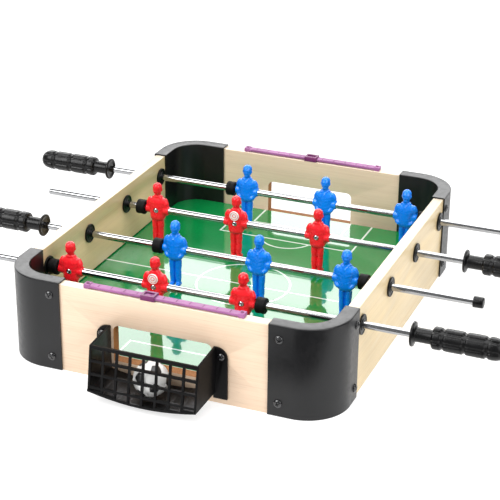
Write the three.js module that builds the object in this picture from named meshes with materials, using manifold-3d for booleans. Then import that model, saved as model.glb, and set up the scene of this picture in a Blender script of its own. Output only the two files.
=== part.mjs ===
// Small table-top foosball table: a wooden box on four hollow plastic corner posts, a glossy
// pitch board, a goal at each end, a basket on the front goal and four sliding, turning rods.
// Millimetres, +Z up. The box is drawn round the middle of its own footprint, the rods run
// along X and the goals face -Y (front) and +Y (back).
import * as THREE from 'three';
import { mergeVertices } from 'three/addons/utils/BufferGeometryUtils.js';
import Module from 'manifold-3d';

const wasm = await Module();
wasm.setup();

// Gaps between pieces that touch, round the score sliders, and round a rod in its bushes.
const FIT_GAP = 0.3;
const SLIDE_GAP = 0.3;
const RUNNING_GAP = 0.1;

// How far a cutting shape runs past the piece it cuts.
const CUT_OVERRUN = 1;

// Box.
const BOX_WIDTH = 280;
const BOX_LENGTH = 336;
const PANEL_HEIGHT = 75;
const PANEL_THICKNESS = 9;
const PANEL_SEAT = 15;

// Corner posts: a bent channel that covers the panels' ends, inside, outside and on top.
const POST_WALL = 1.2;
const POST_ARM_X = 52.5;
const POST_ARM_Y = 50;
const POST_RADIUS = 35.5;
const POST_ARC_STEPS = 8;

// Pitch board and the grooves in the side panels that hold it.
const PITCH_TOP = 20;
const PITCH_THICKNESS = 3;
const PITCH_END_GAP = 2;
const PITCH_POST_GAP = 0.5;
const GROOVE_DEPTH = 3.5;
const GROOVE_HEADROOM = 1.2;

// Goal mouths.
const GOAL_WIDTH = 83;
const GOAL_SILL_DROP = 2;
const GOAL_HEADROOM = 1;
const GOAL_CORNER = 5;

// Basket on the front goal.
const CAGE_WALL = 1.8;
const CAGE_SIDE_CLEARANCE = 2;
const CAGE_BALL_CLEARANCE = 2.4;
const CAGE_LEAN = 6.8;
const CAGE_RIM_DROP = 1.9;
const CAGE_BASE = 5;
const CAGE_FLOOR_RISE = 5;
const CAGE_COLUMNS = 8;
const CAGE_ROWS = 4;
const CAGE_BAR = 1.9;
const CAGE_RAIL = 2.6;
const CAGE_ROW_PITCH = 10.5;
const CAGE_EAR = 11.5;
const CAGE_EAR_DROP = 0.5;
const CAGE_EAR_CORNER = 9;
const CAGE_SCREW_DROP = 7;
const CAGE_ARC_STEPS = 10;

// Cage screws: pan heads.
const SCREW_HEAD_RADIUS = 3;
const SCREW_HEAD_HEIGHT = 1.8;
const SCREW_SHANK_RADIUS = 1.2;
const SCREW_LENGTH = 7;
const SCREW_SHOULDER_RADIUS = 2.8;
const SCREW_SHOULDER_HEIGHT = 1;
const SCREW_FLAT_RADIUS = 1.65;
const SCREW_SEGMENTS = 12;

// Score bars and their sliders.
const SCORE_BAR_END_GAP = 20.5;
const SCORE_BAR_WIDTH = 6.4;
const SCORE_BAR_THICKNESS = 1.8;
const SCORE_BAR_LIFT = 1.2;
const SCORE_FOOT_WIDTH = 3;
const SCORE_FOOT_LENGTH = 3;
const SCORE_FOOT_SPACING = 40;
const SCORE_STOP_LENGTH = 5;
const SCORE_STOP_RISE = 0.7;
const SLIDER_LENGTH = 11.5;
const SLIDER_WALL = 1.2;
const SLIDER_LIP = 1.2;
const SLIDER_LIP_THICKNESS = 0.7;
const SLIDER_WINDOW_LENGTH = 8;
const SLIDER_WINDOW_WIDTH = 4.8;
const SLIDER_FRONT_PLACE = -12;
const SLIDER_BACK_PLACE = 0;

// Rods. Each rod slides along X and turns on it.
const ROD_HEIGHT = 58;
const ROD_RADIUS = 3;
const ROD_BARE_STICKOUT = 45;
const ROD_CAPPED_STICKOUT = 48;
const ROD_IN_HANDLE = 30;
const ROD_END_LANE = 60;
const ROD_STOP_GAP = 0.2;
const ROD_SEGMENTS = 16;

// Bushes that carry the rods in the side panels.
const BUSH_WALL = 2;
const BUSH_FLANGE_RIM = 3.2;
const BUSH_FLANGE = 1.5;
const BUSH_SEGMENTS = 16;

// Handles.
const HANDLE_LENGTH = 73;
const HANDLE_FLANGE_RADIUS = 9.75;
const HANDLE_FLANGE = 4;
const HANDLE_NECK_RADIUS = 5.75;
const HANDLE_NECK_END = 16.5;
const HANDLE_GRIP_RADIUS = 9;
const HANDLE_GROOVE_PITCH = 17;
const HANDLE_GROOVE_WIDTH = 1.6;
const HANDLE_GROOVE_DEPTH = 0.8;
const HANDLE_FIRST_GROOVE = 24.5;
const HANDLE_DOME = 7;
const HANDLE_EDGE = 1;
const HANDLE_SHOULDER = 3;
const HANDLE_SHOULDER_DROP = 1.5;
const HANDLE_SEGMENTS = 16;

// Caps on the free ends of rods 2 and 4.
const CAP_LAP = 6;
const CAP_LENGTH = 8.4;
const CAP_WALL = 1.6;
const CAP_CHAMFER = 1.2;

// Rubber bumpers beside the outer players.
const BUMPER_RADIUS = 6.5;
const BUMPER_LENGTH = 8;
const BUMPER_CHAMFER = 0.8;

// Players.
const PLAYER_SPACING = 76;
const PLAYER_HALF_WIDTH = 11.2;
const PLAYER_TOP = 25.5;
const PLAYER_FOOT = 34.6;
const PLAYER_SIDES = 12;

// Ball, resting in the basket against the front bars.
const BALL_RADIUS = 14;
const BALL_CLEARANCE = 0.6;

// The four rods from the front to the back. A turned rod has its handle on the left. slid is
// where the rod stands between its left stop, -1, and its right stop, 1. stickout is from the
// side panel to the handle with the rod in the middle: the handles are pushed on unevenly.
const RODS = [
  { name: '1', slid: -1, stickout: 73.5, turned: false, colour: 'red', capped: false, bumpers: [-1, 1] },
  { name: '2', slid: 0.8, stickout: 60.5, turned: true, colour: 'blue', capped: true, bumpers: [-1, 1] },
  { name: '3', slid: -0.7, stickout: 66, turned: false, colour: 'red', capped: false, bumpers: [-1] },
  { name: '4', slid: 1, stickout: 76.05, turned: true, colour: 'blue', capped: true, bumpers: [-1, 1] },
];

// Worked out from the sizes above.
const HALF_WIDTH = BOX_WIDTH / 2;
const HALF_LENGTH = BOX_LENGTH / 2;
const POST_OUTSET = FIT_GAP + POST_WALL;
const POST_TOP = PANEL_HEIGHT + POST_OUTSET;
const POST_ARM_END_X = HALF_WIDTH - POST_ARM_X;
const POST_ARM_END_Y = HALF_LENGTH - POST_ARM_Y;
const CHANNEL_WIDTH = PANEL_THICKNESS + 2 * POST_OUTSET;
const PITCH_BOTTOM = PITCH_TOP - PITCH_THICKNESS;
const GOAL_SILL = PITCH_TOP - GOAL_SILL_DROP;
const GOAL_TOP = PITCH_TOP + 2 * BALL_RADIUS + GOAL_HEADROOM;
const CAGE_EAR_TOP = GOAL_TOP - CAGE_EAR_DROP;
const CAGE_RIM = CAGE_EAR_TOP - CAGE_RIM_DROP;
const CAGE_SCREW_HEIGHT = CAGE_EAR_TOP - CAGE_SCREW_DROP;
const CAGE_REACH = CAGE_WALL + 2 * BALL_RADIUS + CAGE_BALL_CLEARANCE;
const CAGE_INNER_WIDTH = GOAL_WIDTH + 2 * CAGE_SIDE_CLEARANCE;
const CAGE_INNER_HALF = CAGE_INNER_WIDTH / 2;
const CAGE_OUTER_HALF = CAGE_INNER_HALF + CAGE_WALL;
const CAGE_EXTENT = HALF_LENGTH + FIT_GAP + CAGE_REACH + CAGE_LEAN;
const SCORE_BAR_LENGTH = 2 * (POST_ARM_END_X - SCORE_BAR_END_GAP);
const SCORE_BAR_BOTTOM = PANEL_HEIGHT + SCORE_BAR_LIFT;
const SCORE_BAR_TOP = SCORE_BAR_BOTTOM + SCORE_BAR_THICKNESS;
const SCORE_BAR_PLACE = HALF_LENGTH - PANEL_THICKNESS / 2;
const SLIDER_INNER = SCORE_BAR_WIDTH / 2 + SLIDE_GAP;
const SLIDER_OUTER = SLIDER_INNER + SLIDER_WALL;
const BOX_EXTENT = Math.max(HALF_LENGTH + POST_OUTSET, SCORE_BAR_PLACE + SLIDER_OUTER);
const BORE_RADIUS = ROD_RADIUS + FIT_GAP;
const BUSH_BARREL_RADIUS = ROD_RADIUS + BUSH_WALL;
const BUSH_FLANGE_RADIUS = BUSH_BARREL_RADIUS + BUSH_FLANGE_RIM;
const ROD_BARE_END = HALF_WIDTH + ROD_BARE_STICKOUT;
const ROD_CAPPED_END = HALF_WIDTH + ROD_CAPPED_STICKOUT;
const CAP_START = ROD_CAPPED_END - CAP_LAP;
const CAP_RADIUS = ROD_RADIUS + CAP_WALL;
const BUMPER_PLACE = PLAYER_SPACING + PLAYER_HALF_WIDTH + FIT_GAP + BUMPER_LENGTH / 2;
const BUSH_FACE = HALF_WIDTH - PANEL_THICKNESS - FIT_GAP - BUSH_FLANGE;
const ROD_TRAVEL = BUSH_FACE - BUMPER_PLACE - BUMPER_LENGTH / 2 - ROD_STOP_GAP;
const ROD_SPACING = (BOX_LENGTH - 2 * ROD_END_LANE) / (RODS.length - 1);

const MATERIALS = {
  wood: new THREE.MeshStandardMaterial({ color: 0xe6c9a0, roughness: 0.5, metalness: 0 }),
  pitch: new THREE.MeshStandardMaterial({ color: 0x1f8a4c, roughness: 0.1, metalness: 0 }),
  black: new THREE.MeshStandardMaterial({ color: 0x1c1c1e, roughness: 0.45, metalness: 0 }),
  rubber: new THREE.MeshStandardMaterial({ color: 0x151515, roughness: 0.8, metalness: 0 }),
  chrome: new THREE.MeshStandardMaterial({ color: 0xd8d8dc, roughness: 0.12, metalness: 1 }),
  steel: new THREE.MeshStandardMaterial({ color: 0x26262a, roughness: 0.35, metalness: 1 }),
  red: new THREE.MeshStandardMaterial({ color: 0xe01c26, roughness: 0.25, metalness: 0 }),
  blue: new THREE.MeshStandardMaterial({ color: 0x0a6fe0, roughness: 0.25, metalness: 0 }),
  score: new THREE.MeshStandardMaterial({ color: 0xb98cab, roughness: 0.3, metalness: 0 }),
  ball: new THREE.MeshStandardMaterial({ color: 0xf2f2f0, roughness: 0.35, metalness: 0 }),
};

// ---- Geometry helpers ----

function toSolid(geometry) {
  const bare = geometry.index ? geometry.toNonIndexed() : geometry.clone();
  bare.deleteAttribute('normal');
  bare.deleteAttribute('uv');
  const merged = mergeVertices(bare, 1e-4);
  return new wasm.Manifold(new wasm.Mesh({
    numProp: 3,
    vertProperties: new Float32Array(merged.attributes.position.array),
    triVerts: new Uint32Array(merged.index.array),
  }));
}

function toGeometry(solid) {
  const mesh = solid.getMesh();
  const geometry = new THREE.BufferGeometry();
  geometry.setAttribute('position', new THREE.BufferAttribute(mesh.vertProperties, 3));
  geometry.setIndex(new THREE.BufferAttribute(mesh.triVerts, 1));
  return geometry;
}

function join(geometries) {
  return geometries.slice(1).reduce((sum, item) => sum.add(toSolid(item)), toSolid(geometries[0]));
}

function cut(geometry, tools) {
  return toGeometry(tools.reduce((left, tool) => left.subtract(toSolid(tool)), toSolid(geometry)));
}

// A block from its two opposite corners.
function block(low, high) {
  const size = high.map((value, axis) => value - low[axis]);
  const geometry = new THREE.BoxGeometry(...size);
  return geometry.translate(...low.map((value, axis) => value + size[axis] / 2));
}

// A closed outline, always anticlockwise so that holes may run either way.
function polygon(points) {
  const corners = points.map(([u, v]) => new THREE.Vector2(u, v));
  return new THREE.Shape(THREE.ShapeUtils.isClockWise(corners) ? corners.reverse() : corners);
}

// A panel's outline, standing on the table top.
function panelOutline(halfLength) {
  return polygon([
    [-halfLength, 0],
    [halfLength, 0],
    [halfLength, PANEL_HEIGHT],
    [-halfLength, PANEL_HEIGHT],
  ]);
}

function extrude(shape, depth, curveSegments = 8) {
  return new THREE.ExtrudeGeometry(shape, { depth, curveSegments, bevelEnabled: false });
}

// A shape drawn in X and Y, pulled up from one height to another.
function extrudeUp(shape, low, high, curveSegments) {
  return extrude(shape, high - low, curveSegments).translate(0, 0, low);
}

// A shape drawn in Y and Z, pulled along +X from one place to another.
function extrudeAlongX(shape, low, high, curveSegments) {
  const turn = new THREE.Matrix4().makeBasis(
    new THREE.Vector3(0, 1, 0),
    new THREE.Vector3(0, 0, 1),
    new THREE.Vector3(1, 0, 0),
  );
  return extrude(shape, high - low, curveSegments).applyMatrix4(turn).translate(low, 0, 0);
}

// A shape drawn in X and Z, filling Y from low to high.
function extrudeAlongY(shape, low, high, curveSegments) {
  return extrude(shape, high - low, curveSegments).rotateX(Math.PI / 2).translate(0, high, 0);
}

// A profile of [place along X, radius] points turned about the X axis.
function turnAboutX(profile, segments) {
  const points = profile.map(([place, radius]) => new THREE.Vector2(radius, place));
  return new THREE.LatheGeometry(points, segments).rotateZ(-Math.PI / 2);
}

// A plain cylinder along X, used to cut bores.
function cylinderAlongX(radius, low, high, segments = ROD_SEGMENTS) {
  return turnAboutX([[low, 0], [low, radius], [high, radius], [high, 0]], segments);
}

function addPiece(parent, name, geometry, material, position = [0, 0, 0], turn = 0) {
  const mesh = new THREE.Mesh(geometry, material);
  mesh.name = name;
  mesh.position.set(...position);
  mesh.rotation.z = turn;
  parent.add(mesh);
}

// ---- Box ----

// Points of a quarter circle in the corner that lies towards +u and +v.
function cornerArc(centreU, centreV, radius, steps) {
  const points = [];
  for (let step = 0; step <= steps; step += 1) {
    const angle = (step / steps) * Math.PI / 2;
    points.push([centreU + radius * Math.cos(angle), centreV + radius * Math.sin(angle)]);
  }
  return points;
}

// The bent channel's footprint at the corner towards +X and +Y. skin is taken off both sides,
// and overrun is added to both arm ends.
function postFootprint(skin, overrun, steps) {
  const outerX = HALF_WIDTH + POST_OUTSET - skin;
  const outerY = HALF_LENGTH + POST_OUTSET - skin;
  const innerX = HALF_WIDTH + POST_OUTSET - CHANNEL_WIDTH + skin;
  const innerY = HALF_LENGTH + POST_OUTSET - CHANNEL_WIDTH + skin;
  const outerRadius = POST_RADIUS - skin;
  const innerRadius = POST_RADIUS - CHANNEL_WIDTH + skin;
  const endX = POST_ARM_END_X - overrun;
  const endY = POST_ARM_END_Y - overrun;
  const outerArc = cornerArc(outerX - outerRadius, outerY - outerRadius, outerRadius, steps);
  const innerArc = cornerArc(innerX - innerRadius, innerY - innerRadius, innerRadius, steps);
  const outside = [[outerX, endY], ...outerArc, [endX, outerY]];
  const inside = [[endX, innerY], ...innerArc.reverse(), [innerX, endY]];
  return [...outside, ...inside];
}

function cornerPost(signX, signY) {
  const place = (points) => polygon(points.map(([x, y]) => [signX * x, signY * y]));
  const outside = extrudeUp(place(postFootprint(0, 0, POST_ARC_STEPS)), 0, POST_TOP);
  const hollow = place(postFootprint(POST_WALL, CUT_OVERRUN, POST_ARC_STEPS));
  return cut(outside, [extrudeUp(hollow, -CUT_OVERRUN, PANEL_HEIGHT + FIT_GAP)]);
}

function circleHole(u, v, radius) {
  const hole = new THREE.Path();
  hole.absarc(u, v, radius, 0, 2 * Math.PI, true);
  return hole;
}

function rodPlaces() {
  return RODS.map((rod, index) => (index - (RODS.length - 1) / 2) * ROD_SPACING);
}

// A side panel centred on its own thickness, with rod holes and the pitch groove on its -X face.
function sidePanel() {
  const halfLength = POST_ARM_END_Y + PANEL_SEAT;
  const outline = panelOutline(halfLength);
  for (const y of rodPlaces()) {
    outline.holes.push(circleHole(y, ROD_HEIGHT, BUSH_BARREL_RADIUS + FIT_GAP));
  }
  const panel = extrudeAlongX(outline, -PANEL_THICKNESS / 2, PANEL_THICKNESS / 2);
  const end = halfLength + CUT_OVERRUN;
  const groove = block(
    [-PANEL_THICKNESS / 2 - CUT_OVERRUN, -end, PITCH_BOTTOM - FIT_GAP],
    [-PANEL_THICKNESS / 2 + GROOVE_DEPTH, end, PITCH_TOP + GROOVE_HEADROOM],
  );
  return cut(panel, [groove]);
}

// Blind pilot holes for the basket's screws, in the face towards -Y.
function screwPilots() {
  const outside = -PANEL_THICKNESS / 2;
  const bottom = outside + SCREW_LENGTH - CAGE_WALL;
  const radius = SCREW_SHANK_RADIUS + FIT_GAP;
  return [-1, 1].map((side) => {
    const pilot = cylinderAlongX(radius, outside - CUT_OVERRUN, bottom, SCREW_SEGMENTS);
    return pilot.rotateZ(Math.PI / 2).translate(cageScrewPlace(side), 0, CAGE_SCREW_HEIGHT);
  });
}

// An end panel centred on its own thickness, with the goal mouth cut in it.
function endPanel() {
  const outline = panelOutline(POST_ARM_END_X + PANEL_SEAT);
  const half = GOAL_WIDTH / 2;
  const arcX = half - GOAL_CORNER;
  const arcZ = GOAL_TOP - GOAL_CORNER;
  const mouth = new THREE.Path();
  mouth.moveTo(-half, GOAL_SILL);
  mouth.lineTo(-half, arcZ);
  mouth.absarc(-arcX, arcZ, GOAL_CORNER, Math.PI, Math.PI / 2, true);
  mouth.absarc(arcX, arcZ, GOAL_CORNER, Math.PI / 2, 0, true);
  mouth.lineTo(half, GOAL_SILL);
  outline.holes.push(mouth);
  return extrudeAlongY(outline, -PANEL_THICKNESS / 2, PANEL_THICKNESS / 2, 6);
}

// One quarter of the pitch board's outline, from the middle of the +X side to the +Y end.
function pitchQuarter() {
  const wideX = HALF_WIDTH - PANEL_THICKNESS + GROOVE_DEPTH - PITCH_POST_GAP;
  const postX = HALF_WIDTH + POST_OUTSET - CHANNEL_WIDTH - PITCH_POST_GAP;
  const notchY = POST_ARM_END_Y - PITCH_POST_GAP;
  const endY = HALF_LENGTH - PANEL_THICKNESS - PITCH_END_GAP;
  const radius = POST_RADIUS - CHANNEL_WIDTH - PITCH_POST_GAP;
  const arc = cornerArc(postX - radius, endY - radius, radius, 7);
  return [[wideX, notchY], [postX, notchY], ...arc];
}

function pitchBoard() {
  const quarter = pitchQuarter();
  const outline = [
    ...quarter,
    ...quarter.map(([x, y]) => [-x, y]).reverse(),
    ...quarter.map(([x, y]) => [-x, -y]),
    ...quarter.map(([x, y]) => [x, -y]).reverse(),
  ];
  return extrudeUp(polygon(outline), PITCH_BOTTOM, PITCH_TOP);
}

function addBox(table) {
  const sideX = HALF_WIDTH - PANEL_THICKNESS / 2;
  const endY = HALF_LENGTH - PANEL_THICKNESS / 2;
  const frontPanel = cut(endPanel(), screwPilots());
  addPiece(table, 'side_panel_left', sidePanel(), MATERIALS.wood, [-sideX, 0, 0], Math.PI);
  addPiece(table, 'side_panel_right', sidePanel(), MATERIALS.wood, [sideX, 0, 0]);
  addPiece(table, 'end_panel_front', frontPanel, MATERIALS.wood, [0, -endY, 0]);
  addPiece(table, 'end_panel_back', endPanel(), MATERIALS.wood, [0, endY, 0]);
  addPiece(table, 'pitch_board', pitchBoard(), MATERIALS.pitch);
  for (const [end, signY] of [['front', -1], ['back', 1]]) {
    for (const [side, signX] of [['left', -1], ['right', 1]]) {
      addPiece(table, `corner_post_${end}_${side}`, cornerPost(signX, signY), MATERIALS.black);
    }
  }
}

// ---- Basket ----
// Drawn with +Y pointing out of the end panel, from the panel's outer face.

// How far the outside of the front wall stands out at a height.
function cageFrontAt(height) {
  const share = (CAGE_RIM - height) / (CAGE_RIM - CAGE_BASE);
  return FIT_GAP + CAGE_REACH + CAGE_LEAN * share;
}

// Height of the floor's underside: an arc that is lowest in the middle.
function cageFloorAt(x) {
  return CAGE_BASE + CAGE_FLOOR_RISE * (x / CAGE_OUTER_HALF) ** 2;
}

// Evenly spaced places across the basket, from -X to +X.
function cagePlaces() {
  const places = [];
  for (let step = 0; step <= CAGE_ARC_STEPS; step += 1) {
    places.push(CAGE_OUTER_HALF * (2 * step / CAGE_ARC_STEPS - 1));
  }
  return places;
}

function cageFloor() {
  const places = cagePlaces();
  const under = places.map((x) => [x, cageFloorAt(x)]);
  const over = places.map((x) => [x, cageFloorAt(x) + CAGE_WALL]).reverse();
  return extrudeAlongY(polygon([...under, ...over]), FIT_GAP, cageFrontAt(CAGE_BASE + CAGE_WALL));
}

function cageSideWall(side) {
  const bottom = CAGE_BASE + CAGE_FLOOR_RISE;
  const shape = polygon([
    [FIT_GAP, bottom],
    [cageFrontAt(bottom), bottom],
    [cageFrontAt(CAGE_RIM), CAGE_RIM],
    [FIT_GAP, CAGE_EAR_TOP],
  ]);
  const inner = side > 0 ? CAGE_INNER_HALF : -CAGE_OUTER_HALF;
  return extrudeAlongX(shape, inner, inner + CAGE_WALL);
}

// The blocks that cut the front wall's windows, a row shorter wherever the floor rises.
function cageWindows() {
  const pitch = (CAGE_INNER_WIDTH + CAGE_WALL) / CAGE_COLUMNS;
  const blocks = [];
  for (let column = 0; column < CAGE_COLUMNS; column += 1) {
    const left = -CAGE_INNER_HALF - CAGE_WALL / 2 + column * pitch + CAGE_BAR / 2;
    const right = left + pitch - CAGE_BAR;
    const sill = Math.max(cageFloorAt(left), cageFloorAt(right)) + CAGE_WALL;
    for (let row = 0; row < CAGE_ROWS; row += 1) {
      const top = CAGE_RIM - CAGE_RAIL - row * CAGE_ROW_PITCH;
      const bottom = Math.max(top - CAGE_ROW_PITCH + CAGE_BAR, sill);
      if (top > bottom) {
        const low = [left, -CAGE_WALL - CUT_OVERRUN, bottom];
        blocks.push(block(low, [right, CUT_OVERRUN, top]));
      }
    }
  }
  return blocks;
}

// The leaning front wall with its grid of windows. It is drawn upright and sheared outwards.
function cageFront() {
  const under = cagePlaces().map((x) => [x, cageFloorAt(x)]);
  const outline = [...under, [CAGE_OUTER_HALF, CAGE_RIM], [-CAGE_OUTER_HALF, CAGE_RIM]];
  const front = cut(extrudeAlongY(polygon(outline), -CAGE_WALL, 0), cageWindows());
  const slope = CAGE_LEAN / (CAGE_RIM - CAGE_BASE);
  const shear = new THREE.Matrix4().makeShear(0, 0, 0, 0, 0, -slope);
  return front.applyMatrix4(shear).translate(0, cageFrontAt(CAGE_RIM) + slope * CAGE_RIM, 0);
}

function cageEar(side) {
  const inner = CAGE_INNER_HALF;
  const outer = CAGE_INNER_HALF + CAGE_EAR;
  const arcZ = CAGE_EAR_TOP - CAGE_EAR_CORNER;
  const arc = cornerArc(outer - CAGE_EAR_CORNER, arcZ, CAGE_EAR_CORNER, 6);
  const outline = [[inner, CAGE_BASE], [outer, CAGE_BASE], ...arc, [inner, CAGE_EAR_TOP]];
  const shape = polygon(outline.map(([x, z]) => [side * x, z]));
  const holeRadius = SCREW_SHANK_RADIUS + FIT_GAP;
  shape.holes.push(circleHole(cageScrewPlace(side), CAGE_SCREW_HEIGHT, holeRadius));
  return extrudeAlongY(shape, FIT_GAP, FIT_GAP + CAGE_WALL, 6);
}

function cageScrewPlace(side) {
  return side * (CAGE_OUTER_HALF + CAGE_INNER_HALF + CAGE_EAR) / 2;
}

function goalCage() {
  const sides = [-1, 1].flatMap((side) => [cageSideWall(side), cageEar(side)]);
  return toGeometry(join([cageFront(), cageFloor(), ...sides]));
}

// A pan-head screw along X: the head's underside is at 0 and the shank runs towards -X.
function panHeadScrew() {
  return turnAboutX([
    [-SCREW_LENGTH, 0],
    [-SCREW_LENGTH + SCREW_SHANK_RADIUS, SCREW_SHANK_RADIUS],
    [0, SCREW_SHANK_RADIUS],
    [0, SCREW_HEAD_RADIUS],
    [SCREW_SHOULDER_HEIGHT, SCREW_SHOULDER_RADIUS],
    [SCREW_HEAD_HEIGHT, SCREW_FLAT_RADIUS],
    [SCREW_HEAD_HEIGHT, 0],
  ], SCREW_SEGMENTS);
}

function addCage(table) {
  const cage = new THREE.Group();
  cage.position.y = -HALF_LENGTH;
  cage.rotation.z = Math.PI;
  table.add(cage);
  addPiece(cage, 'goal_cage', goalCage(), MATERIALS.black);
  const headPlace = 2 * FIT_GAP + CAGE_WALL;
  for (const [name, side] of [['left', 1], ['right', -1]]) {
    const place = [cageScrewPlace(side), headPlace, CAGE_SCREW_HEIGHT];
    addPiece(cage, `cage_screw_${name}`, panHeadScrew(), MATERIALS.steel, place, Math.PI / 2);
  }
}

function addBall(table) {
  const height = cageFloorAt(0) + CAGE_WALL + FIT_GAP + BALL_RADIUS;
  const front = HALF_LENGTH + cageFrontAt(height);
  const place = front - CAGE_WALL - BALL_CLEARANCE - BALL_RADIUS;
  const sphere = new THREE.IcosahedronGeometry(BALL_RADIUS, 3);
  addPiece(table, 'ball', sphere, MATERIALS.ball, [0, -place, height]);
}

// ---- Score bars ----
// Drawn along X, centred over the end panel's top edge.

function scoreBar() {
  const half = SCORE_BAR_LENGTH / 2;
  const side = SCORE_BAR_WIDTH / 2;
  const pieces = [block([-half, -side, SCORE_BAR_BOTTOM], [half, side, SCORE_BAR_TOP])];
  for (const end of [-1, 1]) {
    const outer = end * half;
    const inner = end * (half - SCORE_STOP_LENGTH);
    pieces.push(block(
      [Math.min(outer, inner), -side, PANEL_HEIGHT + FIT_GAP],
      [Math.max(outer, inner), side, SCORE_BAR_TOP + SCORE_STOP_RISE],
    ));
    const foot = end * SCORE_FOOT_SPACING / 2;
    pieces.push(block(
      [foot - SCORE_FOOT_LENGTH / 2, -SCORE_FOOT_WIDTH / 2, PANEL_HEIGHT + FIT_GAP],
      [foot + SCORE_FOOT_LENGTH / 2, SCORE_FOOT_WIDTH / 2, SCORE_BAR_BOTTOM + SCORE_BAR_THICKNESS / 2],
    ));
  }
  return toGeometry(join(pieces));
}

// A frame that wraps the bar, open underneath and with a window on top.
function scoreSlider() {
  const inner = SLIDER_INNER;
  const outer = SLIDER_OUTER;
  const lip = SCORE_BAR_WIDTH / 2 - SLIDER_LIP;
  const under = SCORE_BAR_BOTTOM - SLIDE_GAP;
  const bottom = under - SLIDER_LIP_THICKNESS;
  const roof = SCORE_BAR_TOP + SLIDE_GAP;
  const top = roof + SLIDER_WALL;
  const sleeve = extrudeAlongX(polygon([
    [-lip, bottom], [-outer, bottom], [-outer, top], [outer, top], [outer, bottom], [lip, bottom],
    [lip, under], [inner, under], [inner, roof], [-inner, roof], [-inner, under], [-lip, under],
  ]), -SLIDER_LENGTH / 2, SLIDER_LENGTH / 2);
  const windowCut = block(
    [-SLIDER_WINDOW_LENGTH / 2, -SLIDER_WINDOW_WIDTH / 2, roof - SLIDE_GAP],
    [SLIDER_WINDOW_LENGTH / 2, SLIDER_WINDOW_WIDTH / 2, top + CUT_OVERRUN],
  );
  return cut(sleeve, [windowCut]);
}

function addScoring(table) {
  const ends = [
    ['front', -SCORE_BAR_PLACE, SLIDER_FRONT_PLACE],
    ['back', SCORE_BAR_PLACE, SLIDER_BACK_PLACE],
  ];
  for (const [name, y, place] of ends) {
    addPiece(table, `score_bar_${name}`, scoreBar(), MATERIALS.score, [0, y, 0]);
    addPiece(table, `score_slider_${name}`, scoreSlider(), MATERIALS.score, [place, y, 0]);
  }
}

// ---- Rods ----
// Drawn along X with the handle at +X and the players facing +Y.

// A bush with a flange on each face of the panel, drawn with the outside towards +X.
function bush() {
  const half = PANEL_THICKNESS / 2 + FIT_GAP;
  const bore = ROD_RADIUS + RUNNING_GAP;
  return turnAboutX([
    [-half - BUSH_FLANGE, bore],
    [-half - BUSH_FLANGE, BUSH_FLANGE_RADIUS],
    [-half, BUSH_FLANGE_RADIUS],
    [-half, BUSH_BARREL_RADIUS],
    [half, BUSH_BARREL_RADIUS],
    [half, BUSH_FLANGE_RADIUS],
    [half + BUSH_FLANGE, BUSH_FLANGE_RADIUS],
    [half + BUSH_FLANGE, bore],
    [-half - BUSH_FLANGE, bore],
  ], BUSH_SEGMENTS);
}

function rodBar(capped, handleStart) {
  const freeEnd = capped ? ROD_CAPPED_END : ROD_BARE_END;
  return cylinderAlongX(ROD_RADIUS, -freeEnd, handleStart + ROD_IN_HANDLE);
}

// The profile of one ring groove in the grip.
function grooveProfile(place) {
  const floor = HANDLE_GRIP_RADIUS - HANDLE_GROOVE_DEPTH;
  const half = HANDLE_GROOVE_WIDTH / 2;
  return [[place - half, HANDLE_GRIP_RADIUS], [place, floor], [place + half, HANDLE_GRIP_RADIUS]];
}

function handle() {
  const groovePlaces = [0, 1, 2].map((step) => HANDLE_FIRST_GROOVE + step * HANDLE_GROOVE_PITCH);
  const domeStart = HANDLE_LENGTH - HANDLE_DOME;
  const dome = [1, 2, 3].map((step) => {
    const angle = (step / 4) * Math.PI / 2;
    return [domeStart + HANDLE_DOME * Math.sin(angle), HANDLE_GRIP_RADIUS * Math.cos(angle)];
  });
  const profile = [
    [ROD_IN_HANDLE + FIT_GAP, 0],
    [ROD_IN_HANDLE + FIT_GAP, BORE_RADIUS],
    [0, BORE_RADIUS],
    [0, HANDLE_FLANGE_RADIUS - HANDLE_EDGE],
    [HANDLE_EDGE, HANDLE_FLANGE_RADIUS],
    [HANDLE_FLANGE - HANDLE_EDGE, HANDLE_FLANGE_RADIUS],
    [HANDLE_FLANGE, HANDLE_NECK_RADIUS + HANDLE_EDGE],
    [HANDLE_FLANGE + HANDLE_EDGE, HANDLE_NECK_RADIUS],
    [HANDLE_NECK_END, HANDLE_NECK_RADIUS],
    [HANDLE_NECK_END + HANDLE_EDGE, HANDLE_GRIP_RADIUS - HANDLE_SHOULDER_DROP],
    [HANDLE_NECK_END + HANDLE_SHOULDER, HANDLE_GRIP_RADIUS],
    ...groovePlaces.flatMap(grooveProfile),
    [domeStart, HANDLE_GRIP_RADIUS],
    ...dome,
    [HANDLE_LENGTH, 0],
  ];
  return turnAboutX(profile, HANDLE_SEGMENTS);
}

// A cap with a blind bore, drawn from its closed end at 0 towards +X.
function endCap() {
  const bottom = CAP_START + CAP_LENGTH - ROD_CAPPED_END - FIT_GAP;
  return turnAboutX([
    [0, 0],
    [0, CAP_RADIUS - CAP_CHAMFER],
    [CAP_CHAMFER, CAP_RADIUS],
    [CAP_LENGTH, CAP_RADIUS],
    [CAP_LENGTH, BORE_RADIUS],
    [bottom, BORE_RADIUS],
    [bottom, 0],
  ], ROD_SEGMENTS);
}

function bumper() {
  const half = BUMPER_LENGTH / 2;
  return turnAboutX([
    [-half, BORE_RADIUS],
    [-half, BUMPER_RADIUS - BUMPER_CHAMFER],
    [-half + BUMPER_CHAMFER, BUMPER_RADIUS],
    [half - BUMPER_CHAMFER, BUMPER_RADIUS],
    [half, BUMPER_RADIUS - BUMPER_CHAMFER],
    [half, BORE_RADIUS],
    [-half, BORE_RADIUS],
  ], ROD_SEGMENTS);
}

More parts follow.
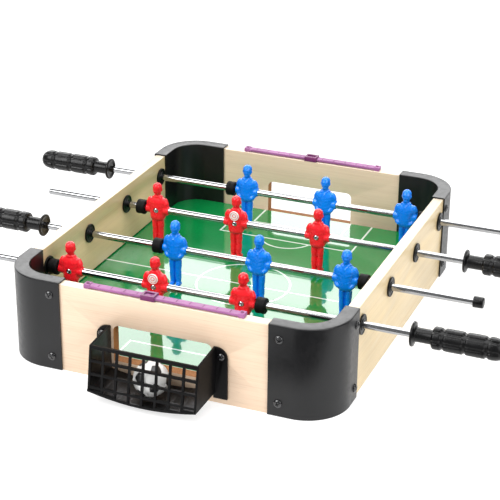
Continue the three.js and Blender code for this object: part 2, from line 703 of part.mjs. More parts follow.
// A closed skin through level oval rings. Each ring is [height, half width, half depth, shift].
function loft(rings, sides) {
  const positions = [];
  const index = [];
  for (const [height, halfWidth, halfDepth, shift] of rings) {
    for (let side = 0; side < sides; side += 1) {
      const angle = (side / sides) * 2 * Math.PI;
      positions.push(halfWidth * Math.cos(angle), shift + halfDepth * Math.sin(angle), height);
    }
  }
  for (let ring = 0; ring + 1 < rings.length; ring += 1) {
    for (let side = 0; side < sides; side += 1) {
      const next = (side + 1) % sides;
      const low = ring * sides;
      const high = low + sides;
      index.push(low + side, low + next, high + next, low + side, high + next, high + side);
    }
  }
  const last = (rings.length - 1) * sides;
  for (let side = 1; side + 1 < sides; side += 1) {
    index.push(0, side + 1, side);
    index.push(last, last + side, last + side + 1);
  }
  const geometry = new THREE.BufferGeometry();
  geometry.setAttribute('position', new THREE.Float32BufferAttribute(positions, 3));
  geometry.setIndex(index);
  return geometry;
}

// A player with folded arms round the rod: heights run from the foot to the top of the head.
function player() {
  const body = loft([
    [-PLAYER_FOOT, 4.6, 5.6, 0.8],
    [-PLAYER_FOOT + 3, 5, 6, 0.8],
    [-PLAYER_FOOT + 5.5, 4.6, 4, 0],
    [-20, 5.6, 3.8, 0],
    [-8, 7.6, 4.8, 0],
    [-3.5, PLAYER_HALF_WIDTH - 1, 6.2, 0],
    [3.5, PLAYER_HALF_WIDTH, 6.4, 0],
    [9.5, 9.8, 5.6, 0],
    [12.3, 6.4, 4.2, 0],
    [13.4, 3.7, 3.5, 0],
    [15.5, 4.2, 4.4, 0.3],
    [19.5, 4.6, 4.8, 0.3],
    [23, 3.8, 3.9, 0.2],
    [PLAYER_TOP, 1.6, 1.7, 0],
  ], PLAYER_SIDES);
  const boreEnd = PLAYER_HALF_WIDTH + CUT_OVERRUN;
  return cut(body, [cylinderAlongX(BORE_RADIUS, -boreEnd, boreEnd)]);
}

function sideName(turned, side) {
  if (side === 0) {
    return 'middle';
  }
  return (side > 0) === turned ? 'left' : 'right';
}

function addBushes(table, rod, y) {
  const x = HALF_WIDTH - PANEL_THICKNESS / 2;
  addPiece(table, `bush_${rod.name}_left`, bush(), MATERIALS.black, [-x, y, ROD_HEIGHT]);
  addPiece(table, `bush_${rod.name}_right`, bush(), MATERIALS.black, [x, y, ROD_HEIGHT]);
}

function addRod(table, rod, y) {
  const capPlace = -CAP_START - CAP_LENGTH;
  const handleStart = HALF_WIDTH + rod.stickout;
  const line = new THREE.Group();
  line.position.set(rod.slid * ROD_TRAVEL, y, ROD_HEIGHT);
  line.rotation.z = rod.turned ? Math.PI : 0;
  table.add(line);
  addPiece(line, `rod_${rod.name}`, rodBar(rod.capped, handleStart), MATERIALS.chrome);
  addPiece(line, `handle_${rod.name}`, handle(), MATERIALS.black, [handleStart, 0, 0]);
  if (rod.capped) {
    addPiece(line, `end_cap_${rod.name}`, endCap(), MATERIALS.black, [capPlace, 0, 0]);
  }
  for (const side of [-1, 0, 1]) {
    const name = `player_${rod.name}_${sideName(rod.turned, side)}`;
    addPiece(line, name, player(), MATERIALS[rod.colour], [side * PLAYER_SPACING, 0, 0]);
  }
  for (const side of rod.bumpers) {
    const name = `bumper_${rod.name}_${sideName(rod.turned, side)}`;
    addPiece(line, name, bumper(), MATERIALS.rubber, [side * BUMPER_PLACE, 0, 0]);
  }
}

// ---- Whole table ----

function foosballTable() {
  const table = new THREE.Group();
  addBox(table);
  addCage(table);
  addBall(table);
  addScoring(table);
  rodPlaces().forEach((y, index) => {
    addBushes(table, RODS[index], y);
    addRod(table, RODS[index], y);
  });
  // The basket reaches further out than the back posts, so the box stands a little behind the
  // middle of the overall length.
  table.position.y = (CAGE_EXTENT - BOX_EXTENT) / 2;
  return table;
}

export default foosballTable();
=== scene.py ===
"""Table-top foosball game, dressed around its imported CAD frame.

The frame is loaded first and stays as it is. Each class below builds one sub-assembly of the
table from its own sizes, gives it a finish and rides it on the CAD body it belongs to. All the
lengths are metres, written as millimetres times MM, and every place comes from the frame.
"""

import logging
import math
from dataclasses import dataclass
from enum import Enum
from typing import Any, Callable, Iterable, Sequence

import bmesh
import bpy
import numpy as np
from mathutils import Matrix, Vector


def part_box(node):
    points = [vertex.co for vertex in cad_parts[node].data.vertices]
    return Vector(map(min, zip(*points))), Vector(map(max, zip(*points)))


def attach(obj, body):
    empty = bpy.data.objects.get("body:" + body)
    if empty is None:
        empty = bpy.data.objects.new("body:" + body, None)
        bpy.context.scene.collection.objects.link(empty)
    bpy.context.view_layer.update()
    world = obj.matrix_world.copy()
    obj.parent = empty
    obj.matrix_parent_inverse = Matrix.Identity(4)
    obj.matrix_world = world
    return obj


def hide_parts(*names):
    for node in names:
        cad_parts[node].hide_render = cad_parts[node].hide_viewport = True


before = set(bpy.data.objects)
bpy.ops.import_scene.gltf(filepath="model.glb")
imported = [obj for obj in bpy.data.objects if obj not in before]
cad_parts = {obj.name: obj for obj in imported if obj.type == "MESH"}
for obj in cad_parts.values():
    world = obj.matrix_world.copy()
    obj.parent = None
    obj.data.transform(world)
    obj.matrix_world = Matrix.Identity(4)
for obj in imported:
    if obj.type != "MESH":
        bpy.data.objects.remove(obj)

LOG = logging.getLogger("foosball_table")
MM = 0.001
TURN = 2 * math.pi
Colour = tuple[float, float, float]
Point2 = tuple[float, float]
ROD_NUMBERS = (1, 2, 3, 4)
# The materials made so far, by name. A name is never one of the record's slots.
MIXED: dict[str, bpy.types.Material] = {}


class Side(Enum):
    """Which long side of the table a piece is on, and its sign along X."""

    LEFT = -1
    RIGHT = 1

    @property
    def word(self) -> str:
        """The word that names use for this side."""
        return self.name.lower()


class End(Enum):
    """Which goal end of the table a piece is on, and its sign along Y."""

    FRONT = -1
    BACK = 1

    @property
    def word(self) -> str:
        """The word that names use for this end."""
        return self.name.lower()


class Grain(Enum):
    """The way that the wood grain runs, as stretch factors for its pattern along X, Y and Z."""

    ALONG_X = (0.012, 1.0, 1.0)
    ALONG_Y = (1.0, 0.012, 1.0)


class Team(Enum):
    """The two teams, with the way their players face along Y."""

    RED = 1
    BLUE = -1

    @property
    def word(self) -> str:
        """The word that names and slots use for this team."""
        return self.name.lower()


TEAM_OF_ROD = {1: Team.RED, 2: Team.BLUE, 3: Team.RED, 4: Team.BLUE}


def shade(red: float, green: float, blue: float) -> Colour:
    """Turns display values from 0 to 255 into the linear colour that shaders take.

    Args:
        red: Display value of red.
        green: Display value of green.
        blue: Display value of blue.

    Returns:
        The linear colour.
    """
    return tuple(
        v / 12.92 if v <= 0.04045 else ((v + 0.055) / 1.055) ** 2.4
        for v in (red / 255, green / 255, blue / 255)
    )


def opaque(colour: Colour) -> tuple[float, float, float, float]:
    """Gives a colour its fourth, solid, channel."""
    return (*colour, 1.0)


def scaled(colour: Colour, factor: float) -> Colour:
    """Makes a colour lighter or darker by a factor."""
    return tuple(min(1.0, v * factor) for v in colour)


class Wiring:
    """Short calls for putting together a shader or geometry node tree."""

    def __init__(self, tree: bpy.types.NodeTree) -> None:
        """Keeps the tree that the calls add to."""
        self.tree = tree

    def feed(self, socket: bpy.types.NodeSocket, value: Any) -> None:
        """Links a socket to another, or sets its value.

        Args:
            socket: The input to feed.
            value: An output socket or a plain value.
        """
        if isinstance(value, bpy.types.NodeSocket):
            self.tree.links.new(value, socket)
        else:
            socket.default_value = value

    def node(self, kind: str, values: dict | None = None, **settings: Any) -> bpy.types.Node:
        """Adds a node.

        Args:
            kind: Blender's name of the node type.
            values: What to feed its inputs, by name or number.
            **settings: Properties of the node, set before its inputs.

        Returns:
            The node.
        """
        made = self.tree.nodes.new(kind)
        for key, value in settings.items():
            setattr(made, key, value)
        for key, value in (values or {}).items():
            self.feed(made.inputs[key], value)
        return made

    def math(self, operation: str, *terms: Any) -> bpy.types.NodeSocket:
        """Adds one step of arithmetic and returns its result."""
        return self.node("ShaderNodeMath", dict(enumerate(terms)), operation=operation).outputs[0]

    def mix(self, factor: Any, first: Any, second: Any) -> bpy.types.NodeSocket:
        """Mixes two colours by a factor and returns the result."""
        made = self.node("ShaderNodeMix", {0: factor, 6: first, 7: second}, data_type="RGBA")
        return made.outputs[2]

    def ease(self, value: Any, start: float, end: float, low: float = 0.0,
             high: float = 1.0) -> bpy.types.NodeSocket:
        """Turns a value into a smooth step.

        Args:
            value: The socket to read.
            start: Where the step starts.
            end: Where the step ends.
            low: The result before the step.
            high: The result after the step.

        Returns:
            The result socket.
        """
        made = self.node(
            "ShaderNodeMapRange",
            {"Value": value, "From Min": start, "From Max": end, "To Min": low, "To Max": high},
            interpolation_type="SMOOTHSTEP",
        )
        return made.outputs[0]

    def noise(self, vector: Any, scale: float, detail: float = 3.0, rough: float = 0.55,
              warp: float = 0.0) -> bpy.types.NodeSocket:
        """Adds a noise pattern and returns its height."""
        made = self.node(
            "ShaderNodeTexNoise",
            {"Vector": vector, "Scale": scale, "Detail": detail, "Roughness": rough,
             "Distortion": warp},
        )
        return made.outputs[0]

    def place(self) -> bpy.types.NodeSocket:
        """Adds the object's own coordinates, in metres."""
        return self.node("ShaderNodeTexCoord").outputs["Object"]

    def stretch(self, vector: Any, scale: Sequence[float]) -> bpy.types.NodeSocket:
        """Scales a pattern's coordinates along each axis."""
        return self.node("ShaderNodeMapping", {"Vector": vector, "Scale": scale}).outputs[0]

    def bump(self, height: Any, distance: float, strength: float = 1.0,
             under: Any = None) -> bpy.types.NodeSocket:
        """Turns a height into a bumped normal.

        Args:
            height: The height, from 0 to 1.
            distance: How far the full height stands out, in metres.
            strength: How much of it shows.
            under: A normal to add to, if there is one.

        Returns:
            The normal socket.
        """
        values = {"Height": height, "Distance": distance, "Strength": strength}
        if under is not None:
            values["Normal"] = under
        return self.node("ShaderNodeBump", values).outputs[0]


@dataclass(frozen=True)
class Finish:
    """A surface finish: a name, its main colour and how rough it is."""

    name: str
    colour: Colour
    roughness: float = 0.4

    def material(self) -> bpy.types.Material:
        """Returns the finish's material, made the first time that it is asked for."""
        ready = MIXED.get(self.name)
        if ready is not None:
            return ready
        made = MIXED[self.name] = bpy.data.materials.new(self.name)
        made.use_nodes = True
        made.node_tree.nodes.clear()
        wire = Wiring(made.node_tree)
        shader = wire.node("ShaderNodeBsdfPrincipled")
        out = wire.node("ShaderNodeOutputMaterial")
        wire.feed(out.inputs["Surface"], shader.outputs[0])
        made.diffuse_color = opaque(self.colour)
        self.dress(wire, shader)
        return made

    def dress(self, wire: Wiring, shader: bpy.types.Node) -> None:
        """Wires the finish's pattern to its shader."""
        raise NotImplementedError


@dataclass(frozen=True)
class Moulded(Finish):
    """Moulded plastic or rubber: soft cloudy tone, spark-eroded grain and a little coat."""

    grain: float = 2200.0
    grain_depth: float = 0.02 * MM
    coat: float = 0.0
    specular: float = 0.5
    tone: float = 0.18
    subsurface: float = 0.0

    def dress(self, wire: Wiring, shader: bpy.types.Node) -> None:
        """Wires the grain, the cloudy tone and the gloss."""
        place = wire.place()
        cloud = wire.noise(place, 60.0, 3.0)
        grain = wire.noise(place, self.grain, 2.0, 0.6)
        handled = wire.noise(place, 240.0, 4.0, 0.65, 0.4)
        wire.feed(shader.inputs["Base Color"], wire.mix(
            wire.ease(cloud, 0.35, 0.65),
            opaque(scaled(self.colour, 1 - self.tone / 2)),
            opaque(scaled(self.colour, 1 + self.tone)),
        ))
        wire.feed(shader.inputs["Roughness"], wire.ease(
            handled, 0.3, 0.75, max(0.03, self.roughness - 0.05), self.roughness + 0.07))
        wire.feed(shader.inputs["Normal"], wire.bump(grain, self.grain_depth, 0.6))
        shader.inputs["Coat Weight"].default_value = self.coat
        shader.inputs["Coat Roughness"].default_value = 0.08
        shader.inputs["Specular IOR Level"].default_value = self.specular
        shader.inputs["Subsurface Weight"].default_value = self.subsurface
        shader.inputs["Subsurface Scale"].default_value = 1.2 * MM


@dataclass(frozen=True)
class Laminate(Finish):
    """Wood-look laminate with fine streaks, broad bands and short pores along the grain."""

    streak: Colour = (0.5, 0.3, 0.15)
    grain: Grain = Grain.ALONG_X

    def dress(self, wire: Wiring, shader: bpy.types.Node) -> None:
        """Wires the bands, streaks and pores of the wood print."""
        place = wire.place()
        run = wire.stretch(place, self.grain.value)
        bands = wire.noise(run, 95.0, 3.0, 0.5, 0.8)
        streaks = wire.noise(run, 820.0, 4.0, 0.65, 0.2)
        pores = wire.noise(wire.stretch(run, (3.0, 3.0, 1.0)), 1900.0, 2.0, 0.5)
        tone = wire.mix(wire.ease(bands, 0.32, 0.68), opaque(scaled(self.colour, 0.965)),
                        opaque(scaled(self.colour, 1.03)))
        tone = wire.mix(wire.ease(streaks, 0.46, 0.8, 0.0, 0.36), tone, opaque(self.streak))
        tone = wire.mix(wire.ease(pores, 0.62, 0.72, 0.0, 0.22), tone,
                        opaque(scaled(self.streak, 0.6)))
        wire.feed(shader.inputs["Base Color"], tone)
        wire.feed(shader.inputs["Roughness"], wire.ease(
            streaks, 0.3, 0.7, self.roughness - 0.05, self.roughness + 0.08))
        wire.feed(shader.inputs["Normal"], wire.bump(pores, 0.02 * MM, 0.5))
        shader.inputs["Coat Weight"].default_value = 0.12
        shader.inputs["Coat Roughness"].default_value = 0.25


@dataclass(frozen=True)
class EdgeBand(Finish):
    """The pale glued-on band of the panels' top edges, with faint grain and small dents."""

    grain: Grain = Grain.ALONG_X

    def dress(self, wire: Wiring, shader: bpy.types.Node) -> None:
        """Wires the faint grain of the band."""
        place = wire.place()
        streaks = wire.noise(wire.stretch(place, self.grain.value), 700.0, 3.0, 0.6, 0.3)
        dents = wire.noise(place, 420.0, 3.0, 0.6)
        wire.feed(shader.inputs["Base Color"], wire.mix(
            wire.ease(streaks, 0.35, 0.8), opaque(self.colour),
            opaque(scaled(self.colour, 0.86))))
        wire.feed(shader.inputs["Roughness"], wire.ease(
            dents, 0.3, 0.7, self.roughness - 0.04, self.roughness + 0.08))
        wire.feed(shader.inputs["Normal"], wire.bump(dents, 0.03 * MM, 0.4))


@dataclass(frozen=True)
class Fibreboard(Finish):
    """Cut edges of the fibreboard core: brown and fuzzy, with darker blotches."""

    def dress(self, wire: Wiring, shader: bpy.types.Node) -> None:
        """Wires the fibres and the darker blotches."""
        place = wire.place()
        fibres = wire.noise(place, 1300.0, 4.0, 0.7)
        blotches = wire.noise(place, 170.0, 3.0, 0.6)
        tone = wire.mix(wire.ease(fibres, 0.3, 0.7), opaque(scaled(self.colour, 0.72)),
                        opaque(scaled(self.colour, 1.25)))
        tone = wire.mix(wire.ease(blotches, 0.4, 0.7, 0.0, 0.35), tone,
                        opaque(scaled(self.colour, 0.6)))
        wire.feed(shader.inputs["Base Color"], tone)
        shader.inputs["Roughness"].default_value = self.roughness
        wire.feed(shader.inputs["Normal"], wire.bump(fibres, 0.12 * MM, 0.7))


@dataclass(frozen=True)
class PitchPrint(Finish):
    """The glossy green pitch with its printed white lines, under a clear coat."""

    line: Colour = (0.9, 0.95, 0.92)
    line_width: float = 1.7 * MM
    middle_y: float = 0.0
    wall_front: float = 0.0
    wall_back: float = 0.0
    circle_radius: float = 40.5 * MM
    penalty_half: float = 64 * MM
    penalty_depth: float = 63.5 * MM
    goal_half: float = 43 * MM
    goal_depth: float = 32 * MM
    arc_radius: float = 25 * MM
    arc_setback: float = 9 * MM

    def dress(self, wire: Wiring, shader: bpy.types.Node) -> None:
        """Wires the line print, the green's slight mottle and the coat."""
        place = wire.place()
        split = wire.node("ShaderNodeSeparateXYZ", {0: place})
        x, y = split.outputs[0], split.outputs[1]
        across = wire.math("ABSOLUTE", x)
        from_middle = wire.math("ABSOLUTE", wire.math("SUBTRACT", y, self.middle_y))
        lines = [from_middle, self.ring(wire, x, y, self.middle_y, self.circle_radius)]
        for wall, way in ((self.wall_back, 1), (self.wall_front, -1)):
            depth = wire.math("MULTIPLY", wire.math("SUBTRACT", wall, y), way)
            for half, reach in ((self.penalty_half, self.penalty_depth),
                                (self.goal_half, self.goal_depth)):
                lines.append(wire.math("ABSOLUTE", wire.math(
                    "MAXIMUM", wire.math("SUBTRACT", across, half),
                    wire.math("SUBTRACT", depth, reach))))
            centre = wall - way * (self.penalty_depth - self.arc_setback)
            arc = self.ring(wire, x, y, centre, self.arc_radius)
            inside = wire.math("LESS_THAN", depth, self.penalty_depth)
            lines.append(wire.math("ADD", arc, inside))
        nearest = lines[0]
        for other in lines[1:]:
            nearest = wire.math("MINIMUM", nearest, other)
        half_line = self.line_width / 2
        print_here = wire.ease(nearest, half_line - 0.12 * MM, half_line + 0.12 * MM, 1.0, 0.0)
        mottle = wire.noise(place, 520.0, 4.0, 0.6)
        green = wire.mix(wire.ease(mottle, 0.3, 0.7), opaque(scaled(self.colour, 0.95)),
                         opaque(scaled(self.colour, 1.06)))
        wire.feed(shader.inputs["Base Color"], wire.mix(print_here, green, opaque(self.line)))
        wire.feed(shader.inputs["Roughness"], wire.ease(mottle, 0.3, 0.7, 0.1, 0.16))
        ripple = wire.noise(place, 40.0, 2.0, 0.5)
        wire.feed(shader.inputs["Normal"], wire.bump(ripple, 0.01 * MM, 0.4))
        shader.inputs["Specular IOR Level"].default_value = 0.12
        shader.inputs["Coat Weight"].default_value = 1.0
        shader.inputs["Coat Roughness"].default_value = 0.02

    def ring(self, wire: Wiring, x: Any, y: Any, centre_y: float,
             radius: float) -> bpy.types.NodeSocket:
        """Returns the distance from a circle centred on the table's long axis."""
        out = wire.math("SUBTRACT", y, centre_y)
        length = wire.math("SQRT", wire.math(
            "ADD", wire.math("MULTIPLY", x, x), wire.math("MULTIPLY", out, out)))
        return wire.math("ABSOLUTE", wire.math("SUBTRACT", length, radius))


@dataclass(frozen=True)
class Plated(Finish):
    """Bright plated metal, with faint draw lines along X and dull handling marks."""

    def dress(self, wire: Wiring, shader: bpy.types.Node) -> None:
        """Wires the draw lines and the handling marks."""
        place = wire.place()
        draw = wire.noise(wire.stretch(place, (0.0008, 1.0, 1.0)), 2600.0, 3.0, 0.6)
        marks = wire.noise(place, 130.0, 4.0, 0.6, 0.5)
        wire.feed(shader.inputs["Base Color"], wire.mix(
            wire.ease(marks, 0.35, 0.75), opaque(self.colour), opaque(scaled(self.colour, 0.86))))
        wire.feed(shader.inputs["Roughness"], wire.ease(
            marks, 0.35, 0.8, self.roughness, self.roughness + 0.04))
        wire.feed(shader.inputs["Normal"], wire.bump(draw, 0.01 * MM, 0.35))
        shader.inputs["Metallic"].default_value = 1.0


@dataclass(frozen=True)
class StudioFloor(Finish):
    """The floor's plain white, which glows a little so that no hard shadow falls on it."""

    glow: float = 0.72
    near: float = 1.5
    far: float = 3.6

    def dress(self, wire: Wiring, shader: bpy.types.Node) -> None:
        """Wires the white, whose glow fades with the distance from the table."""
        away = wire.node("ShaderNodeVectorMath", {0: wire.place()}, operation="LENGTH")
        wire.feed(shader.inputs["Emission Strength"], wire.ease(
            away.outputs["Value"], self.near, self.far, self.glow, 0.12))
        shader.inputs["Base Color"].default_value = opaque(self.colour)
        shader.inputs["Roughness"].default_value = self.roughness
        shader.inputs["Specular IOR Level"].default_value = 0.1
        shader.inputs["Emission Color"].default_value = (1, 1, 1, 1)


class Paints:
    """Every finish of the table."""

    WOOD_ENDS = Laminate("maple_laminate_ends", shade(242, 214, 186), 0.36,
                         shade(214, 172, 132), Grain.ALONG_X)
    WOOD_SIDES = Laminate("maple_laminate_sides", shade(234, 210, 163), 0.36,
                          shade(202, 164, 112), Grain.ALONG_Y)
    BAND_ENDS = EdgeBand("top_band_ends", shade(246, 230, 206), 0.42, Grain.ALONG_X)
    BAND_SIDES = EdgeBand("top_band_sides", shade(246, 230, 206), 0.42, Grain.ALONG_Y)
    BOARD = Fibreboard("fibreboard_core", shade(176, 118, 66), 0.85)
    POST = Moulded("post_plastic", shade(16, 16, 18), 0.34, 2600.0, 0.02 * MM, 0.0, 0.42)
    CAGE = Moulded("cage_plastic", shade(9, 9, 10), 0.38, 2600.0, 0.02 * MM, 0.0, 0.14)
    BUSH = Moulded("bush_plastic", shade(10, 10, 11), 0.34, 3000.0, 0.02 * MM, 0.0, 0.22)
    GRIP = Moulded("handle_plastic", shade(6, 6, 7), 0.3, 3000.0, 0.015 * MM, 0.0, 0.28)
    RUBBER = Moulded("soft_black_rubber", shade(10, 10, 11), 0.6, 1600.0, 0.04 * MM, 0.0, 0.16)
    SCREW = Moulded("black_zinc", shade(22, 22, 25), 0.25, 2400.0, 0.02 * MM, 0.3, 0.8)
    ROD = Plated("bright_rod_chrome", (0.42, 0.425, 0.435), 0.1)
    STEEL = Plated("zinc_plate", (0.6, 0.61, 0.64), 0.18)
    RED = Moulded("gloss_red_plastic", shade(255, 34, 46), 0.26, 1500.0, 0.015 * MM, 0.2, 0.4,
                  0.04, 0.05)
    BLUE = Moulded("gloss_blue_plastic", shade(4, 130, 248), 0.26, 1500.0, 0.015 * MM, 0.2, 0.4,
                   0.04, 0.05)
    MAUVE = Moulded("satin_mauve", shade(166, 106, 156), 0.4, 1800.0, 0.01 * MM, 0.0, 0.16, 0.12)
    MAUVE_DARK = Moulded("satin_mauve_dark", shade(118, 50, 100), 0.36, 1800.0, 0.01 * MM, 0.0,
                         0.3)
    BALL_WHITE = Moulded("ball_shell_white", shade(240, 240, 238), 0.32, 1500.0, 0.02 * MM, 0.2,
                         0.5, 0.03)
    BALL_BLACK = Moulded("ball_shell_black", shade(24, 24, 26), 0.32, 1500.0, 0.02 * MM, 0.2)
    BADGE = Moulded("badge_white", shade(252, 248, 246), 0.3, 1500.0, 0.01 * MM, 0.2, 0.5, 0.04)


def new_object(name: str, mesh: bpy.types.Mesh,
               finishes: Iterable[Finish] = ()) -> bpy.types.Object:
    """Puts a mesh in the scene.

    Args:
        name: The object's name.
        mesh: Its mesh.
        finishes: Its finishes, in the order of the faces' material numbers.

    Returns:
        The object, at the origin.
    """
    for finish in finishes:
        mesh.materials.append(finish.material())
    made = bpy.data.objects.new(name, mesh)
    bpy.context.scene.collection.objects.link(made)
    return made


def closed_object(name: str, form: bmesh.types.BMesh, finishes: Iterable[Finish] = (),
                  crease: float = 35.0) -> bpy.types.Object:
    """Turns a bmesh into an object with merged doubles, outward faces and smooth shading.

    Args:
        name: The object's name.
        form: The bmesh, which is freed.
        finishes: Its finishes.
        crease: The angle in degrees past which an edge stays sharp.

    Returns:
        The object.
    """
    bmesh.ops.remove_doubles(form, verts=form.verts, dist=1e-6)
    bmesh.ops.recalc_face_normals(form, faces=form.faces)
    mesh = bpy.data.meshes.new(name)
    form.to_mesh(mesh)
    form.free()
    mesh.shade_smooth()
    mesh.set_sharp_from_angle(angle=math.radians(crease))
    return new_object(name, mesh, finishes)


def settle(piece: bpy.types.Object, crease: float | None = None) -> bpy.types.Object:
    """Replaces an object's mesh by what its modifiers make of it, and removes the modifiers.

    Args:
        piece: The object.
        crease: If given, the angle past which an edge stays sharp.

    Returns:
        The same object.
    """
    graph = bpy.context.evaluated_depsgraph_get()
    graph.update()
    mesh = bpy.data.meshes.new_from_object(piece.evaluated_get(graph), depsgraph=graph)
    piece.modifiers.clear()
    piece.data = mesh
    mesh.name = piece.name
    if crease is not None:
        mesh.shade_smooth()
        mesh.set_sharp_from_angle(angle=math.radians(crease))
    return piece


def discard(*pieces: bpy.types.Object) -> None:
    """Removes helper objects and their meshes."""
    for piece in pieces:
        mesh = piece.data
        bpy.data.objects.remove(piece)
        if mesh.users == 0:
            bpy.data.meshes.remove(mesh)


def fit(piece: bpy.types.Object, body: str, slot: str, *nodes: str) -> bpy.types.Object:
    """Rides a finished piece on its body and hides the CAD nodes it stands for.

    Args:
        piece: The finished piece.
        body: The CAD body that it moves with.
        slot: The record's material slot. It is not used.
        *nodes: The CAD nodes that it replaces.

    Returns:
        The piece.
    """
    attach(piece, body)
    if nodes:
        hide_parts(*nodes)
    LOG.info("%s rides on %s, %d faces", piece.name, body, len(piece.data.polygons))
    return piece


def rounded(points: Sequence[Point2], radii: Sequence[float], steps: int = 4,
            closed: bool = False) -> list[Point2]:
    """Rounds the corners of a flat outline.

    Args:
        points: The corners, in order.
        radii: Each corner's distance cut back along its two edges, 0 to keep it.
        steps: Faces on each rounded corner.
        closed: Whether the last corner joins the first.

    Returns:
        The rounded outline.
    """
    out: list[Point2] = []
    count = len(points)
    for i, here in enumerate(points):
        at_end = not closed and i in (0, count - 1)
        if radii[i] <= 0 or at_end:
            out.append(tuple(here))
            continue
        corner = Vector(here)
        before = Vector(points[(i - 1) % count]) - corner
        after = Vector(points[(i + 1) % count]) - corner
        cut = min(radii[i], before.length * 0.48, after.length * 0.48)
        start = corner + before.normalized() * cut
        stop = corner + after.normalized() * cut
        for k in range(steps + 1):
            t = k / steps
            p = start * (1 - t) ** 2 + corner * (2 * t * (1 - t)) + stop * t**2
            out.append((p.x, p.y))
    return out


def revolve(form: bmesh.types.BMesh, outline: Sequence[Point2], place: Vector, hand: int = 1,
            segments: int = 48, closed: bool = False) -> None:
    """Turns an outline of (along, radius) points round an axis along X.

    Args:
        form: The bmesh to add to.
        outline: The outline. A radius of 0 makes a pole.
        place: Where the outline's zero point is.
        hand: 1 to run along +X, -1 along -X.
        segments: Faces round the axis.
        closed: Whether the outline's last point joins its first.
    """
    rings = []
    for along, radius in outline:
        x = place.x + hand * along
        if radius < 1e-7:
            rings.append([form.verts.new((x, place.y, place.z))])
            continue
        rings.append([
            form.verts.new((x, place.y + radius * math.cos(TURN * k / segments),
                            place.z + radius * math.sin(TURN * k / segments)))
            for k in range(segments)
        ])
    pairs = list(zip(rings, rings[1:]))
    if closed:
        pairs.append((rings[-1], rings[0]))
    for one, two in pairs:
        for k in range(segments):
            n = (k + 1) % segments
            corners = [one[k % len(one)], one[n % len(one)], two[n % len(two)], two[k % len(two)]]
            unique = list(dict.fromkeys(corners))
            if len(unique) > 2:
                form.faces.new(unique)


def turned(name: str, outline: Sequence[Point2], place: Vector, finishes: Iterable[Finish],
           hand: int = 1, segments: int = 48, closed: bool = False,
           crease: float = 35.0) -> bpy.types.Object:
    """Makes an object by turning an outline round an axis along X."""
    form = bmesh.new()
    revolve(form, outline, place, hand, segments, closed)
    return closed_object(name, form, finishes, crease)


def refined(node: str, name: str, edge: float, finishes: Sequence[Finish],
            choose: Callable[[bmesh.types.BMFace], int] | None = None,
            segments: int = 2) -> bpy.types.Object:
    """Copies a CAD node as a merged mesh with softened edges.

    Args:
        node: The CAD node.
        name: The new piece's name.
        edge: How far its edges are softened.
        finishes: Its finishes.
        choose: Returns the number of a face's finish.
        segments: Faces across a softened edge.

    Returns:
        The new piece.
    """
    form = bmesh.new()
    form.from_mesh(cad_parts[node].data)
    bmesh.ops.remove_doubles(form, verts=form.verts, dist=1e-6)
    bmesh.ops.dissolve_limit(form, angle_limit=math.radians(0.6), verts=form.verts,
                             edges=form.edges, use_dissolve_boundaries=False)
    for face in form.faces:
        face.material_index = choose(face) if choose else 0
    mesh = bpy.data.meshes.new(name)
    form.to_mesh(mesh)
    form.free()
    while mesh.materials:
        mesh.materials.pop()
    for layer in list(mesh.uv_layers):
        mesh.uv_layers.remove(layer)
    piece = new_object(name, mesh, finishes)
    soft = piece.modifiers.new("soft_edges", "BEVEL")
    soft.width, soft.segments = edge, segments
    soft.limit_method, soft.angle_limit = "ANGLE", math.radians(32)
    soft.use_clamp_overlap = True
    return settle(piece, 30.0)


def run_rule(piece: bpy.types.Object, tree: bpy.types.NodeTree, **values: Any) -> bpy.types.Object:
    """Runs a geometry node tree on an object and keeps the plain mesh that it makes.

    Args:
        piece: The object whose mesh goes in.
        tree: The geometry node tree.
        **values: Its inputs by name, with _ for a space.

    Returns:
        The object with the result as its mesh.
    """
    rule = piece.modifiers.new("rule", "NODES")
    rule.node_group = tree
    for item in tree.interface.items_tree:
        key = item.name.replace(" ", "_")
        if item.item_type == "SOCKET" and item.in_out == "INPUT" and key in values:
            rule[item.identifier] = values[key]
    return settle(piece)


def rule_tree(name: str, inputs: Sequence[tuple[str, str, Any]]) -> tuple[Wiring, bpy.types.Node,
                                                                         bpy.types.Node]:
    """Starts a geometry node tree with named inputs.

    Args:
        name: The tree's name.
        inputs: Each input's name, kind and first value.

    Returns:
        Its wiring, its group input and its group output.
    """
    tree = bpy.data.node_groups.new(name, "GeometryNodeTree")
    face = tree.interface
    face.new_socket("Geometry", in_out="INPUT", socket_type="NodeSocketGeometry")
    for label, kind, first in inputs:
        socket = face.new_socket(label, in_out="INPUT", socket_type=f"NodeSocket{kind}")
        if first is not None:
            socket.default_value = first
    face.new_socket("Geometry", in_out="OUTPUT", socket_type="NodeSocketGeometry")
    wire = Wiring(tree)
    return wire, wire.node("NodeGroupInput"), wire.node("NodeGroupOutput")


def marker_mesh(name: str, points: Sequence[Vector], ways: Sequence[Vector]) -> bpy.types.Object:
    """Makes loose points, each with the way that what stands on it faces.

    Args:
        name: The object's name.
        points: The points.
        ways: The outward direction at each point.

    Returns:
        The object, whose mesh has an attribute named outward.
    """
    mesh = bpy.data.meshes.new(name)
    mesh.from_pydata([tuple(p) for p in points], [], [])
    outward = mesh.attributes.new("outward", "FLOAT_VECTOR", "POINT")
    for i, way in enumerate(ways):
        outward.data[i].vector = way
    return new_object(name, mesh)


